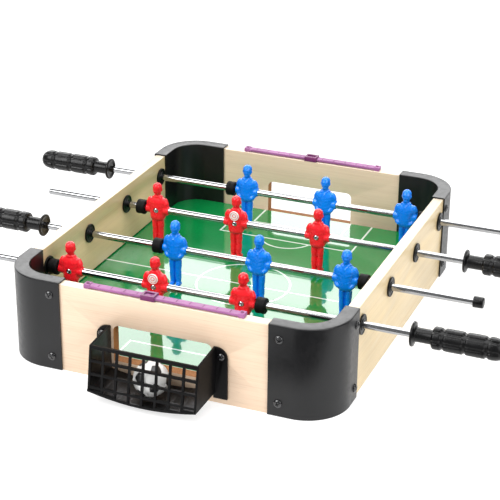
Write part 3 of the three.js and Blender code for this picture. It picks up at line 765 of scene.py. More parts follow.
def standing_tree() -> bpy.types.NodeTree:
    """Builds the rule that stands a copy of one small part on every point, facing outward.

    Returns:
        The tree. Its inputs are Part, Size, Turn Seed, Any Turn and Finish.
    """
    ready = bpy.data.node_groups.get("stand_parts_on_points")
    if ready is not None:
        return ready
    wire, start, end = rule_tree("stand_parts_on_points", [
        ("Part", "Object", None), ("Size", "Float", 1.0), ("Turn Seed", "Int", 7),
        ("Any Turn", "Float", TURN), ("Finish", "Material", None)])
    part = wire.node("GeometryNodeObjectInfo", {"Object": start.outputs["Part"]})
    way = wire.node("GeometryNodeInputNamedAttribute", {"Name": "outward"},
                    data_type="FLOAT_VECTOR")
    aim = wire.node("FunctionNodeAlignRotationToVector", {"Vector": way.outputs[0]}, axis="Z")
    chance = wire.node("FunctionNodeRandomValue", {"Seed": start.outputs["Turn Seed"]},
                       data_type="FLOAT")
    angle = wire.math("MULTIPLY", chance.outputs[1], start.outputs["Any Turn"])
    spin = wire.node("FunctionNodeAxisAngleToRotation", {"Axis": (0, 0, 1), "Angle": angle})
    both = wire.node("FunctionNodeRotateRotation", {0: aim.outputs[0], 1: spin.outputs[0]},
                     rotation_space="LOCAL")
    stand = wire.node("GeometryNodeInstanceOnPoints", {
        "Points": start.outputs[0], "Instance": part.outputs["Geometry"],
        "Rotation": both.outputs[0], "Scale": start.outputs["Size"]})
    whole = wire.node("GeometryNodeRealizeInstances", {0: stand.outputs[0]})
    paint = wire.node("GeometryNodeSetMaterial", {
        "Geometry": whole.outputs[0], "Material": start.outputs["Finish"]})
    wire.feed(end.inputs[0], paint.outputs[0])
    return wire.tree


@dataclass
class CrossScrew:
    """A pan-head screw with a cross recess, seen from outside."""

    radius: float = 3.4 * MM
    height: float = 1.7 * MM
    recess: float = 2.1 * MM
    recess_width: float = 0.85 * MM
    recess_depth: float = 1.1 * MM
    segments: int = 28

    def template(self) -> bpy.types.Object:
        """Makes one head that faces +Z, with its foot at the origin."""
        r, h = self.radius, self.height
        outline = rounded([(0, 0), (0, r), (0.38 * h, r), (h, 0.62 * r), (h * 1.04, 0)],
                          [0, 0.15 * MM, 0.5 * MM, 0.7 * MM, 0], 3)
        form = bmesh.new()
        revolve(form, outline, Vector((0, 0, 0)), 1, self.segments)
        bmesh.ops.rotate(form, verts=form.verts, cent=(0, 0, 0),
                         matrix=Matrix.Rotation(-math.pi / 2, 3, "Y"))
        head = closed_object("screw_head", form)
        cutter = self.cross()
        cut = head.modifiers.new("recess", "BOOLEAN")
        cut.operation, cut.solver, cut.object = "DIFFERENCE", "EXACT", cutter
        settle(head, 40.0)
        discard(cutter)
        return head

    def cross(self) -> bpy.types.Object:
        """Makes the tapered cross that is cut out of the head."""
        a, b = self.recess_width / 2, self.recess
        flat = [(a, a), (a, b), (-a, b), (-a, a), (-b, a), (-b, -a), (-a, -a), (-a, -b),
                (a, -b), (a, -a), (b, -a), (b, a)]
        form = bmesh.new()
        top = self.height + 0.6 * MM
        low = self.height - self.recess_depth
        rings = [[form.verts.new((x * k, y * k, z)) for x, y in flat]
                 for z, k in ((low, 0.5), (top, 1.15))]
        form.faces.new(list(reversed(rings[0])))
        form.faces.new(rings[1])
        for i in range(len(flat)):
            n = (i + 1) % len(flat)
            form.faces.new((rings[0][i], rings[0][n], rings[1][n], rings[1][i]))
        return closed_object("recess_cross", form)

    def stand(self, name: str, points: Sequence[Vector], ways: Sequence[Vector], finish: Finish,
              seed: int) -> bpy.types.Object:
        """Stands this screw on a row of points.

        Args:
            name: The name of the finished row.
            points: Where each head's foot is.
            ways: The way each head faces.
            finish: The heads' finish.
            seed: Seed of how far each screw happens to be turned.

        Returns:
            The row as one piece.
        """
        head = self.template()
        row = marker_mesh(name, points, ways)
        run_rule(row, standing_tree(), Part=head, Size=1.0, Turn_Seed=seed, Any_Turn=TURN,
                 Finish=finish.material())
        discard(head)
        row.data.shade_smooth()
        row.data.set_sharp_from_angle(angle=math.radians(38))
        return row


@dataclass
class WoodBox:
    """The four board panels, with laminate faces, banded tops and bare cut edges."""

    edge: float = 0.35 * MM

    def build(self) -> None:
        """Builds and fits the four panels."""
        for side in Side:
            self.panel(f"side_panel_{side.word}", 0, (Paints.WOOD_SIDES, Paints.BAND_SIDES,
                                                     Paints.BOARD))
        for end in End:
            self.panel(f"end_panel_{end.word}", 1, (Paints.WOOD_ENDS, Paints.BAND_ENDS,
                                                   Paints.BOARD))

    def panel(self, node: str, thin: int, finishes: Sequence[Finish]) -> None:
        """Builds one panel.

        Args:
            node: Its CAD node.
            thin: The axis that the panel is thin along.
            finishes: Its laminate, its top band and its cut edge.
        """
        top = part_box(node)[1].z

        def choose(face: bmesh.types.BMFace) -> int:
            """Picks laminate for broad faces, band for the top and board for the rest."""
            if abs(face.normal[thin]) > 0.5:
                return 0
            if face.normal.z > 0.9 and face.calc_center_median().z > top - 1 * MM:
                return 1
            return 2

        piece = refined(node, f"{node}_board", self.edge, finishes, choose)
        fit(piece, "frame", "wood_panel", node)


@dataclass
class Pitch:
    """The glossy pitch board. Its CAD solid stays and gets the line print."""

    middle_shift: float = -4.5 * MM

    def build(self) -> None:
        """Dresses the pitch board."""
        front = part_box("end_panel_front")[1].y
        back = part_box("end_panel_back")[0].y
        finish = PitchPrint(
            "pitch_print", shade(2, 134, 66), 0.05, shade(226, 240, 230),
            middle_y=(front + back) / 2 + self.middle_shift,
            wall_front=front + 2 * self.middle_shift, wall_back=back)
        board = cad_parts["pitch_board"]
        board.data.materials.clear()
        board.data.materials.append(finish.material())
        LOG.info("pitch_board dressed")


@dataclass
class CornerPosts:
    """The four moulded corner posts, each a bent channel that caps two panels."""

    wall: float = 1.2 * MM
    depth: float = 12 * MM
    bend: float = 35.5 * MM
    bend_steps: int = 28
    top_round: float = 1.3 * MM
    inner_round: float = 0.9 * MM
    screw_heights: tuple[float, float] = (11 * MM, 65 * MM)
    screw_from_end_x: float = 8.5 * MM
    screw_from_end_y: float = 6.0 * MM

    def build(self) -> None:
        """Builds the posts and their sixteen screws."""
        points: list[Vector] = []
        ways: list[Vector] = []
        for end in End:
            for side in Side:
                self.post(end, side)
                self.mark_screws(end, side, points, ways)
        row = CrossScrew().stand("corner_post_screws", points, ways, Paints.SCREW, 11)
        fit(row, "frame", "screw_black")

    def corners(self, end: End, side: Side) -> tuple[float, float, float, float, float]:
        """Returns the outer X, outer Y, the two arm ends and the top of one post."""
        low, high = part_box(f"corner_post_{end.word}_{side.word}")
        outer_x, inner_x = (high.x, low.x) if side is Side.RIGHT else (low.x, high.x)
        outer_y, inner_y = (high.y, low.y) if end is End.BACK else (low.y, high.y)
        return outer_x, outer_y, inner_x, inner_y, high.z

    def post(self, end: End, side: Side) -> None:
        """Builds one post by carrying its channel section round the corner."""
        outer_x, outer_y, inner_x, inner_y, top = self.corners(end, side)
        sx, sy = side.value, end.value
        stations = [(Vector((inner_x, outer_y)), Vector((0.0, -sy)))]
        for k in range(self.bend_steps + 1):
            a = math.pi / 2 * k / self.bend_steps
            out = Vector((sx * math.sin(a), sy * math.cos(a)))
            centre = Vector((outer_x - sx * self.bend, outer_y - sy * self.bend))
            stations.append((centre + out * self.bend, -out))
        stations.append((Vector((outer_x, inner_y)), Vector((-sx, 0.0))))
        w, d = self.wall, self.depth
        section = rounded(
            [(0, 0), (0, top), (d, top), (d, 0), (d - w, 0), (d - w, top - w), (w, top - w),
             (w, 0)],
            [0.2 * MM, self.top_round, self.inner_round, 0.2 * MM, 0.2 * MM, 0, 0, 0.2 * MM],
            4, closed=True)
        form = bmesh.new()
        rings = [[form.verts.new((p.x + n.x * q, p.y + n.y * q, z)) for q, z in section]
                 for p, n in stations]
        for one, two in zip(rings, rings[1:]):
            for i in range(len(section)):
                j = (i + 1) % len(section)
                form.faces.new((one[i], one[j], two[j], two[i]))
        form.faces.new(rings[0])
        form.faces.new(list(reversed(rings[-1])))
        name = f"corner_post_{end.word}_{side.word}"
        piece = closed_object(f"{name}_shell", form, [Paints.POST], 25.0)
        fit(piece, "frame", "post_black", name)

    def mark_screws(self, end: End, side: Side, points: list[Vector],
                    ways: list[Vector]) -> None:
        """Adds the places of one post's four screws."""
        outer_x, outer_y, inner_x, inner_y, _ = self.corners(end, side)
        sx, sy = side.value, end.value
        for z in self.screw_heights:
            points.append(Vector((inner_x + sx * self.screw_from_end_x, outer_y, z)))
            ways.append(Vector((0, sy, 0)))
            points.append(Vector((outer_x, inner_y + sy * self.screw_from_end_y, z)))
            ways.append(Vector((sx, 0, 0)))


@dataclass
class GoalCage:
    """The ball cage on the front goal, with its two screws."""

    edge: float = 0.3 * MM
    screw_height: float = 1.7 * MM
    screw_recess: float = 1.8 * MM
    recess_width: float = 0.8 * MM
    recess_depth: float = 1.0 * MM

    def build(self) -> None:
        """Builds the cage and its screws."""
        cage = refined("goal_cage", "goal_cage_moulding", self.edge, [Paints.CAGE])
        fit(cage, "frame", "cage_black", "goal_cage")
        for side in Side:
            node = f"cage_screw_{side.word}"
            low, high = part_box(node)
            radius = (high.z - low.z) / 2
            foot = Vector(((low.x + high.x) / 2, low.y + self.screw_height,
                           (low.z + high.z) / 2))
            screw = CrossScrew(radius, self.screw_height, self.screw_recess, self.recess_width,
                               self.recess_depth).stand(
                f"{node}_head", [foot], [Vector((0, -1, 0))], Paints.SCREW, 3 + side.value)
            fit(screw, "frame", "screw_black", node)


@dataclass
class ScoreBars:
    """The two score bars, their sliders, their tick ribs and their end pins."""

    edge: float = 0.22 * MM
    ticks: int = 11
    tick_size: tuple[float, float, float] = (0.7 * MM, 3.6 * MM, 0.4 * MM)
    first_tick: float = 12 * MM
    stop_rise: float = 0.7 * MM
    pin_radius: float = 1.4 * MM
    pin_inset: float = 2.6 * MM
    pin_sunk: float = 0.5 * MM
    pin_proud: float = 0.45 * MM

    def build(self) -> None:
        """Builds both bars with what sits on them."""
        for end in End:
            bar = f"score_bar_{end.word}"
            slider = f"score_slider_{end.word}"
            fit(refined(bar, f"{bar}_rail", self.edge, [Paints.MAUVE]), "frame", "score_mauve",
                bar)
            fit(refined(slider, f"{slider}_shoe", self.edge, [Paints.MAUVE_DARK]), slider,
                "score_mauve", slider)
            fit(self.ribs(end), "frame", "score_mauve")
            fit(self.pins(end), "frame", "score_mauve")

    def tick_tree(self) -> bpy.types.NodeTree:
        """Builds the rule that lays tick ribs at even steps along X."""
        ready = bpy.data.node_groups.get("lay_tick_ribs")
        if ready is not None:
            return ready
        wire, start, end = rule_tree("lay_tick_ribs", [
            ("Count", "Int", 11), ("First", "Vector", (0, 0, 0)), ("Step", "Float", 0.01),
            ("Rib Size", "Vector", (0.001, 0.005, 0.0005)), ("Finish", "Material", None)])
        step = wire.node("ShaderNodeCombineXYZ", {0: start.outputs["Step"]})
        row = wire.node("GeometryNodeMeshLine", {
            "Count": start.outputs["Count"], "Start Location": start.outputs["First"],
            "Offset": step.outputs[0]}, mode="OFFSET")
        rib = wire.node("GeometryNodeMeshCube", {"Size": start.outputs["Rib Size"]})
        laid = wire.node("GeometryNodeInstanceOnPoints", {
            "Points": row.outputs[0], "Instance": rib.outputs[0]})
        whole = wire.node("GeometryNodeRealizeInstances", {0: laid.outputs[0]})
        paint = wire.node("GeometryNodeSetMaterial", {
            "Geometry": whole.outputs[0], "Material": start.outputs["Finish"]})
        wire.feed(end.inputs[0], paint.outputs[0])
        return wire.tree

    def ribs(self, end: End) -> bpy.types.Object:
        """Lays the tick ribs of one bar."""
        low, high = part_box(f"score_bar_{end.word}")
        step = (high.x - low.x - 2 * self.first_tick) / (self.ticks - 1)
        row = new_object(f"score_ticks_{end.word}", bpy.data.meshes.new("ticks"))
        first = (low.x + self.first_tick, (low.y + high.y) / 2, high.z - self.stop_rise)
        return run_rule(row, self.tick_tree(), Count=self.ticks, First=first, Step=step,
                        Rib_Size=self.tick_size, Finish=Paints.MAUVE_DARK.material())

    def pins(self, end: End) -> bpy.types.Object:
        """Makes the small hollow pins on a bar's raised ends."""
        low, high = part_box(f"score_bar_{end.word}")
        form = bmesh.new()
        r = self.pin_radius
        outline = rounded(
            [(-self.pin_sunk, 0.5 * r), (-self.pin_sunk, r), (self.pin_proud, r),
             (self.pin_proud, 0.5 * r)],
            [0, 0.05 * MM, 0.2 * MM, 0.1 * MM], 3, closed=True)
        for x in (low.x + self.pin_inset, high.x - self.pin_inset):
            pin = bmesh.new()
            revolve(pin, outline, Vector((0, 0, 0)), 1, 20, closed=True)
            place = Vector((x, (low.y + high.y) / 2, high.z))
            bmesh.ops.transform(pin, verts=pin.verts, matrix=(
                Matrix.Translation(place) @ Matrix.Rotation(-math.pi / 2, 4, "Y")))
            mesh = bpy.data.meshes.new("pin")
            pin.to_mesh(mesh)
            pin.free()
            form.from_mesh(mesh)
            bpy.data.meshes.remove(mesh)
        return closed_object(f"score_pins_{end.word}", form, [Paints.MAUVE_DARK])


@dataclass
class RodLine:
    """One rod with its bushes, bumpers, handle and cap."""

    number: int
    chamfer: float = 0.5 * MM
    segments: int = 48
    bore: float = 3.12 * MM
    bush_bore: float = 3.1 * MM
    bush_barrel: float = 5 * MM
    bush_flange: float = 1.5 * MM
    bush_hub: float = 4.7 * MM
    bush_rim_inset: float = 1.1 * MM
    bush_sink: float = 0.5 * MM
    bumper_waist: float = 0.25 * MM
    cap_depth: float = 6.1 * MM
    flange_radius: float = 9.7 * MM
    neck_radius: float = 5.6 * MM
    grip_radius: float = 8.95 * MM
    bore_end: float = 30 * MM
    dish: float = 0.9 * MM
    grip_end_gap: float = 4.5 * MM
    grip_steps: int = 88
    dome_steps: int = 18
    grip_segments: int = 96
    pads: int = 6
    pad_corner: float = 1.7 * MM
    ring_pitch: float = 17 * MM
    first_ring: float = 24.5 * MM
    groove_width: float = 2.9 * MM
    groove_depth: float = 1.25 * MM
    neck_end: float = 16.5 * MM
    dome: float = 10.5 * MM

    def build(self) -> None:
        """Builds the whole line."""
        self.rod()
        self.bushes()
        self.bumpers()
        self.handle()
        if f"end_cap_{self.number}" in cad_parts:
            self.cap()

    @property
    def team(self) -> Team:
        """The team whose rod this is."""
        return TEAM_OF_ROD[self.number]

    @property
    def hand(self) -> int:
        """1 where the handle is on the right, -1 where it is on the left."""
        return self.team.value

    @property
    def body(self) -> str:
        """The body that turns and slides."""
        return f"rod_{self.number}"

    def axis(self) -> Vector:
        """A point on the rod's axis, with X at its low end."""
        low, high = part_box(f"rod_{self.number}")
        return Vector((low.x, (low.y + high.y) / 2, (low.z + high.z) / 2))

    def rod(self) -> None:
        """Builds the plated rod."""
        low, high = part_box(self.body)
        r, length, c = (high.z - low.z) / 2, high.x - low.x, self.chamfer
        outline = rounded([(0, 0), (0, r), (length, r), (length, 0)], [0, c, c, 0], 3)
        piece = turned(f"rod_{self.number}_bar", outline, self.axis(), [Paints.ROD],
                       segments=self.segments)
        fit(piece, self.body, "rod_chrome", f"rod_{self.number}")

    def bushes(self) -> None:
        """Builds the two flanged bushes, with a raised rim and a short hub on each face."""
        for side in Side:
            node = f"bush_{self.number}_{side.word}"
            low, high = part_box(node)
            length, r = high.x - low.x, (high.z - low.z) / 2
            hub, rim, sink = self.bush_hub, r - self.bush_rim_inset, self.bush_sink
            half = [(0, self.bush_bore), (0, hub), (sink, hub + 0.2 * MM), (sink, rim - 0.2 * MM),
                    (0.15 * MM, rim + 0.1 * MM), (0.15 * MM, r), (self.bush_flange, r),
                    (self.bush_flange, self.bush_barrel)]
            cuts = [0.25, 0.2, 0.15, 0.15, 0.15, 0.35, 0.15, 0.1]
            outline = half + [(length - x, q) for x, q in reversed(half)]
            radii = [c * MM for c in cuts + cuts[::-1]]
            start = Vector((low.x, (low.y + high.y) / 2, (low.z + high.z) / 2))
            piece = turned(f"{node}_flanged", rounded(outline, radii, 3, closed=True), start,
                           [Paints.BUSH], segments=self.segments, closed=True)
            fit(piece, "frame", "bush_black", node)

    def bumpers(self) -> None:
        """Builds the rubber bumpers, with rounded rims and a shallow waist."""
        for side in Side:
            node = f"bumper_{self.number}_{side.word}"
            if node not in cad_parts:
                continue
            low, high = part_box(node)
            length, r = high.x - low.x, (high.z - low.z) / 2
            outline = rounded(
                [(0, self.bore), (0, r), (0.34 * length, r), (0.5 * length, r - self.bumper_waist),
                 (0.66 * length, r), (length, r), (length, self.bore)],
                [v * MM for v in (0.3, 1.1, 1.5, 1.5, 1.5, 1.1, 0.3)], 4, closed=True)
            start = Vector((low.x, (low.y + high.y) / 2, (low.z + high.z) / 2))
            piece = turned(f"{node}_ring", outline, start, [Paints.RUBBER], closed=True)
            fit(piece, f"rod_{self.number}_bumpers", "bumper_rubber", node)

    def grip_tree(self) -> bpy.types.NodeTree:
        """Builds the rule that sinks ring and lengthwise grooves between rounded pads.

        Returns:
            The tree. It moves the points of a turned handle towards its axis.
        """
        ready = bpy.data.node_groups.get("sink_grip_grooves")
        if ready is not None:
            return ready
        wire, start, end = rule_tree("sink_grip_grooves", [
            ("Start", "Float", 0.0), ("Hand", "Float", 1.0), ("Axis Y", "Float", 0.0),
            ("Axis Z", "Float", 0.0), ("Grip Radius", "Float", 0.009), ("Pads", "Float", 6.0),
            ("Pad Corner", "Float", 0.001), ("Ring Pitch", "Float", 0.017),
            ("First Ring", "Float", 0.028), ("Groove Width", "Float", 0.002),
            ("Groove Depth", "Float", 0.001), ("Grip Start", "Float", 0.018),
            ("Grip End", "Float", 0.075), ("Finish", "Material", None)])
        take = start.outputs
        spot = wire.node("GeometryNodeInputPosition").outputs[0]
        split = wire.node("ShaderNodeSeparateXYZ", {0: spot})
        along = wire.math("MULTIPLY", wire.math("SUBTRACT", split.outputs[0], take["Start"]),
                          take["Hand"])
        y = wire.math("SUBTRACT", split.outputs[1], take["Axis Y"])
        z = wire.math("SUBTRACT", split.outputs[2], take["Axis Z"])
        radius = wire.math("SQRT", wire.math("ADD", wire.math("MULTIPLY", y, y),
                                             wire.math("MULTIPLY", z, z)))
        turn = wire.math("DIVIDE", wire.math("ARCTAN2", z, y), TURN)
        round_it = wire.math("FRACT", wire.math("ADD", wire.math(
            "MULTIPLY", turn, take["Pads"]), 20.0))
        arc = wire.math("DIVIDE", wire.math("MULTIPLY", take["Grip Radius"], TURN), take["Pads"])
        half_groove = wire.math("MULTIPLY", take["Groove Width"], 0.5)
        across = self.past_edge(wire, round_it, arc, half_groove, take["Pad Corner"])
        step = wire.math("FRACT", wire.math("ADD", wire.math("DIVIDE", wire.math(
            "SUBTRACT", along, take["First Ring"]), take["Ring Pitch"]), 20.0))
        lengthwise = self.past_edge(wire, step, take["Ring Pitch"], half_groove,
                                    take["Pad Corner"])
        out_a, out_b = wire.math("MAXIMUM", across, 0.0), wire.math("MAXIMUM", lengthwise, 0.0)
        corner = wire.math("SQRT", wire.math("ADD", wire.math("MULTIPLY", out_a, out_a),
                                             wire.math("MULTIPLY", out_b, out_b)))
        inside = wire.math("MINIMUM", wire.math("MAXIMUM", across, lengthwise), 0.0)
        gap = wire.math("SUBTRACT", wire.math("ADD", corner, inside), take["Pad Corner"])
        sunk = wire.node("ShaderNodeMapRange", {
            "Value": gap, "From Min": wire.math("MULTIPLY", half_groove, -0.35),
            "From Max": wire.math("MULTIPLY", half_groove, 0.75), "To Min": 0.0,
            "To Max": take["Groove Depth"]}, interpolation_type="SMOOTHSTEP").outputs[0]
        for edge, fade in (("Grip Start", 1.0), ("Grip End", -1.0)):
            past = wire.math("MULTIPLY", wire.math("SUBTRACT", along, take[edge]), fade)
            sunk = wire.math("MULTIPLY", sunk, wire.ease(past, 0.0, 1.2 * MM))
        share = wire.math("DIVIDE", sunk, wire.math("MAXIMUM", radius, 1e-5))
        shift = wire.node("ShaderNodeCombineXYZ", {
            1: wire.math("MULTIPLY", wire.math("MULTIPLY", y, share), -1.0),
            2: wire.math("MULTIPLY", wire.math("MULTIPLY", z, share), -1.0)})
        moved = wire.node("GeometryNodeSetPosition", {
            "Geometry": take[0], "Offset": shift.outputs[0]})
        whole = wire.node("GeometryNodeRealizeInstances", {0: moved.outputs[0]})
        paint = wire.node("GeometryNodeSetMaterial", {
            "Geometry": whole.outputs[0], "Material": take["Finish"]})
        wire.feed(end.inputs[0], paint.outputs[0])
        return wire.tree

    def past_edge(self, wire: Wiring, part: Any, pitch: Any, half_groove: Any,
                  corner: Any) -> bpy.types.NodeSocket:
        """Returns how far a point is past the start of a pad's rounded corner.

        Args:
            wire: The tree's wiring.
            part: The point's place in its pad's pitch, from 0 to 1.
            pitch: The pitch in metres.
            half_groove: Half the groove's width.
            corner: The radius of the pad's corners.

        Returns:
            The distance, negative in the pad's middle.
        """
        from_middle = wire.math("MULTIPLY", wire.math("ABSOLUTE", wire.math(
            "SUBTRACT", part, 0.5)), pitch)
        half_pad = wire.math("SUBTRACT", wire.math("MULTIPLY", pitch, 0.5), half_groove)
        return wire.math("ADD", wire.math("SUBTRACT", from_middle, half_pad), corner)

    def handle(self) -> None:
        """Builds the ribbed handle with its flange, neck, grip and domed end."""
        node = f"handle_{self.number}"
        low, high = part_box(node)
        length = high.x - low.x
        start_x = low.x if self.hand > 0 else high.x
        flange, neck, grip, dish = self.flange_radius, self.neck_radius, self.grip_radius, self.dish
        outer = [(dish, self.bore), (dish, 0.6 * flange), (0, 0.86 * flange), (0.3 * MM, flange),
                 (1.9 * MM, flange), (2.5 * MM, 0.74 * flange), (3.5 * MM, neck),
                 (self.neck_end - 0.5 * MM, neck), (self.neck_end, grip - 1.1 * MM),
                 (self.neck_end + 1.2 * MM, grip)]
        cuts = [0.2, 0.5, 0.4, 0.5, 0.6, 0.8, 1.2, 0.4, 0.5, 0.6]
        dome_start = length - self.dome
        outline = rounded(outer + [(dome_start, grip)], [c * MM for c in cuts] + [0], 4)
        shoulder = outline[-2][0]
        outline = outline[:-1] + [
            (shoulder + (dome_start - shoulder) * k / self.grip_steps, grip)
            for k in range(1, self.grip_steps + 1)]
        last = self.dome_steps
        outline += [(dome_start + self.dome * math.sin(math.pi / 2 * k / last),
                     grip * math.cos(math.pi / 2 * k / last) ** 0.75 if k < last else 0.0)
                    for k in range(1, last + 1)]
        inner = [(self.bore_end, 0), (self.bore_end, self.bore)]
        form = bmesh.new()
        centre = self.axis()
        revolve(form, inner + outline, Vector((start_x, centre.y, centre.z)), self.hand,
                self.grip_segments)
        piece = closed_object(f"{node}_grip", form, [Paints.GRIP])
        run_rule(piece, self.grip_tree(), Start=start_x, Hand=float(self.hand),
                 Axis_Y=centre.y, Axis_Z=centre.z, Grip_Radius=grip, Pads=float(self.pads),
                 Pad_Corner=self.pad_corner, Ring_Pitch=self.ring_pitch,
                 First_Ring=self.first_ring, Groove_Width=self.groove_width,
                 Groove_Depth=self.groove_depth, Grip_Start=self.neck_end - 0.6 * MM,
                 Grip_End=length - self.grip_end_gap, Finish=Paints.GRIP.material())
        piece.data.shade_smooth()
        piece.data.set_sharp_from_angle(angle=math.radians(50))
        fit(piece, self.body, "handle_black", node)

    def cap(self) -> None:
        """Builds the pressed-on cap of the rod's free end."""
        node = f"end_cap_{self.number}"
        low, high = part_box(node)
        length, r = high.x - low.x, (high.z - low.z) / 2
        hand = -self.hand
        start_x = low.x if hand > 0 else high.x
        centre = self.axis()
        outline = rounded(
            [(self.cap_depth, 0), (self.cap_depth, self.bore), (0, self.bore), (0, r),
             (length, r - 0.15 * MM), (length, 0)],
            [v * MM for v in (0, 0, 0.2, 0.5, 1.3, 0)], 5)
        piece = turned(f"{node}_cup", outline, Vector((start_x, centre.y, centre.z)),
                       [Paints.GRIP], hand)
        fit(piece, self.body, "handle_black", node)


@dataclass
class Player:
    """One moulded player, made once and copied. It stands on the rod's axis and faces +Y."""

    voxel: float = 0.5 * MM
    top: float = 25.5 * MM
    foot: float = -34.6 * MM
    bore: float = 3.05 * MM
    counterbore: float = 2.7 * MM
    counterbore_start: float = 3.9 * MM
    counterbore_length: float = 8 * MM
    bore_reach: float = 15 * MM
    boss_half: float = 11.1 * MM
    boss_radius: float = 3.9 * MM
    half_width: float = 11.2 * MM

    def ball(self, form: bmesh.types.BMesh, centre: Sequence[float],
             radii: Sequence[float]) -> None:
        """Adds an ellipsoid, with its centre and radii in millimetres."""
        shift = Matrix.Translation(Vector(centre) * MM)
        size = Matrix.Diagonal((*(Vector(radii) * MM), 1.0))
        bmesh.ops.create_uvsphere(form, u_segments=24, v_segments=16, radius=1.0,
                                  matrix=shift @ size)

    def limb(self, form: bmesh.types.BMesh, knots: Sequence[tuple[float, ...]]) -> None:
        """Adds a chain of overlapping balls along (x, y, z, radius) knots, in millimetres."""
        for a, b in zip(knots, knots[1:]):
            gap = math.dist(a[:3], b[:3])
            count = max(2, int(gap / 0.8))
            for k in range(count + 1):
                t = k / count
                spot = [a[i] + (b[i] - a[i]) * t for i in range(4)]
                bmesh.ops.create_icosphere(
                    form, subdivisions=3, radius=spot[3] * MM,
                    matrix=Matrix.Translation(Vector(spot[:3]) * MM))

    def loft(self, form: bmesh.types.BMesh, rings: Sequence[tuple[float, ...]],
             power: float = 2.6) -> None:
        """Adds a lofted trunk of (z, half width, half depth, shift forward) rings."""
        count = 40
        made = []
        for z, half_x, half_y, shift in rings:
            ring = []
            for k in range(count):
                a = TURN * k / count
                c, s = math.cos(a), math.sin(a)
                ring.append(form.verts.new((
                    math.copysign(abs(c) ** (2 / power), c) * half_x * MM,
                    (math.copysign(abs(s) ** (2 / power), s) * half_y + shift) * MM, z * MM)))
            made.append(ring)
        for one, two in zip(made, made[1:]):
            for k in range(count):
                n = (k + 1) % count
                form.faces.new((one[k], one[n], two[n], two[k]))
        form.faces.new(list(reversed(made[0])))
        form.faces.new(made[-1])

    def shape(self) -> bpy.types.Object:
        """Builds the player's body as one closed skin."""
        form = bmesh.new()
        self.loft(form, [(-9.4, 5.6, 3.8, 0), (-8.4, 6.4, 4.6, 0), (-6.5, 6.9, 5.2, 0.1),
                         (-3, 7.0, 5.3, 0.2), (1, 7.2, 5.1, 0.1), (5, 7.9, 5.0, 0.1),
                         (8.0, 8.2, 4.7, 0), (10.2, 7.0, 4.0, 0), (11.8, 4.9, 3.3, 0),
                         (13.4, 3.2, 2.9, 0)])
        self.limb(form, [(0, -0.2, 11.5, 3.0), (0, 0.2, 16.0, 2.85)])
        self.ball(form, (0, 0.4, 19.6), (3.85, 4.4, 5.6))
        self.ball(form, (0, -0.4, 21.4), (4.15, 4.4, 4.05))
        self.ball(form, (0, -1.1, 18.8), (3.95, 3.7, 4.2))
        self.ball(form, (0, 3.6, 15.8), (1.5, 1.1, 1.1))
        self.ball(form, (0, 4.6, 18.9), (0.7, 0.9, 1.5))
        self.ball(form, (0, 3.9, 21.0), (2.4, 0.9, 0.7))
        for side in Side:
            s = side.value
            self.ball(form, (s * 3.95, 0.2, 19.2), (0.75, 1.1, 1.5))
            self.limb(form, [(s * 6.9, 0, 8.6, 2.75), (s * 7.9, -0.2, 6.2, 2.85),
                             (s * 8.1, -0.4, 2.8, 2.65)])
            self.limb(form, [(s * 8.1, -0.4, 2.8, 2.3), (s * 8.0, 0.8, -1.6, 2.3),
                             (s * 6.8, 2.8, -4.6, 2.1), (s * 5.4, 3.8, -5.6, 1.8)])
            self.limb(form, [(s * 2.75, 0, -8, 3.0), (s * 2.7, 0, -16.0, 2.95)])
            self.limb(form, [(s * 2.7, 0, -15, 2.8), (s * 2.6, 0.2, -21, 2.6)])
            self.limb(form, [(s * 2.6, 0.1, -21.5, 2.8), (s * 2.55, -0.2, -26, 2.7),
                             (s * 2.5, 0, -31, 2.25)])
            self.limb(form, [(s * 2.6, -2.0, -32.6, 2.2), (s * 2.7, 1.2, -32.5, 2.3),
                             (s * 2.9, 4.4, -33.0, 1.75)])
        mesh = bpy.data.meshes.new("player_shape")
        form.to_mesh(mesh)
        form.free()
        skin = new_object("player_shape", mesh)
        rod_boss = turned("rod_boss", rounded(
            [(-self.boss_half, 0), (-self.boss_half, self.boss_radius),
             (self.boss_half, self.boss_radius), (self.boss_half, 0)],
            [0, 0.7 * MM, 0.7 * MM, 0], 3), Vector((0, 0, 0)), [])
        join = bmesh.new()
        join.from_mesh(skin.data)
        join.from_mesh(rod_boss.data)
        join.to_mesh(skin.data)
        join.free()
        discard(rod_boss)
        wrap = skin.modifiers.new("wrap", "REMESH")
        wrap.mode, wrap.voxel_size = "VOXEL", self.voxel
        wrap.use_smooth_shade = True
        ease = skin.modifiers.new("ease", "SMOOTH")
        ease.factor, ease.iterations = 0.5, 5
        settle(skin)
        self.carve(skin.data)
        self.drill(skin)
        return skin

    def carve(self, mesh: bpy.types.Mesh) -> None:
        """Presses the fine features into the skin and flattens the soles.

        Args:
            mesh: The skin, changed in place.
        """
        count = len(mesh.vertices)
        spots = np.empty(count * 3)
        normals = np.empty(count * 3)
        mesh.vertices.foreach_get("co", spots)
        mesh.vertices.foreach_get("normal", normals)
        p = spots.reshape(-1, 3) / MM
        n = normals.reshape(-1, 3)
        x, y, z = p[:, 0], p[:, 1], p[:, 2]
        push = np.zeros(count)
        front = y > 2.0
        # Eyes and mouth, generic and symmetrical.
        for eye in (-1.55, 1.55):
            far = ((x - eye) / 0.9) ** 2 + ((z - 20.0) / 0.7) ** 2
            push -= 0.45 * np.exp(-far) * front
        far = (x / 1.6) ** 2 + ((z - 17.3) / 0.35) ** 2
        push -= 0.3 * np.exp(-far) * front
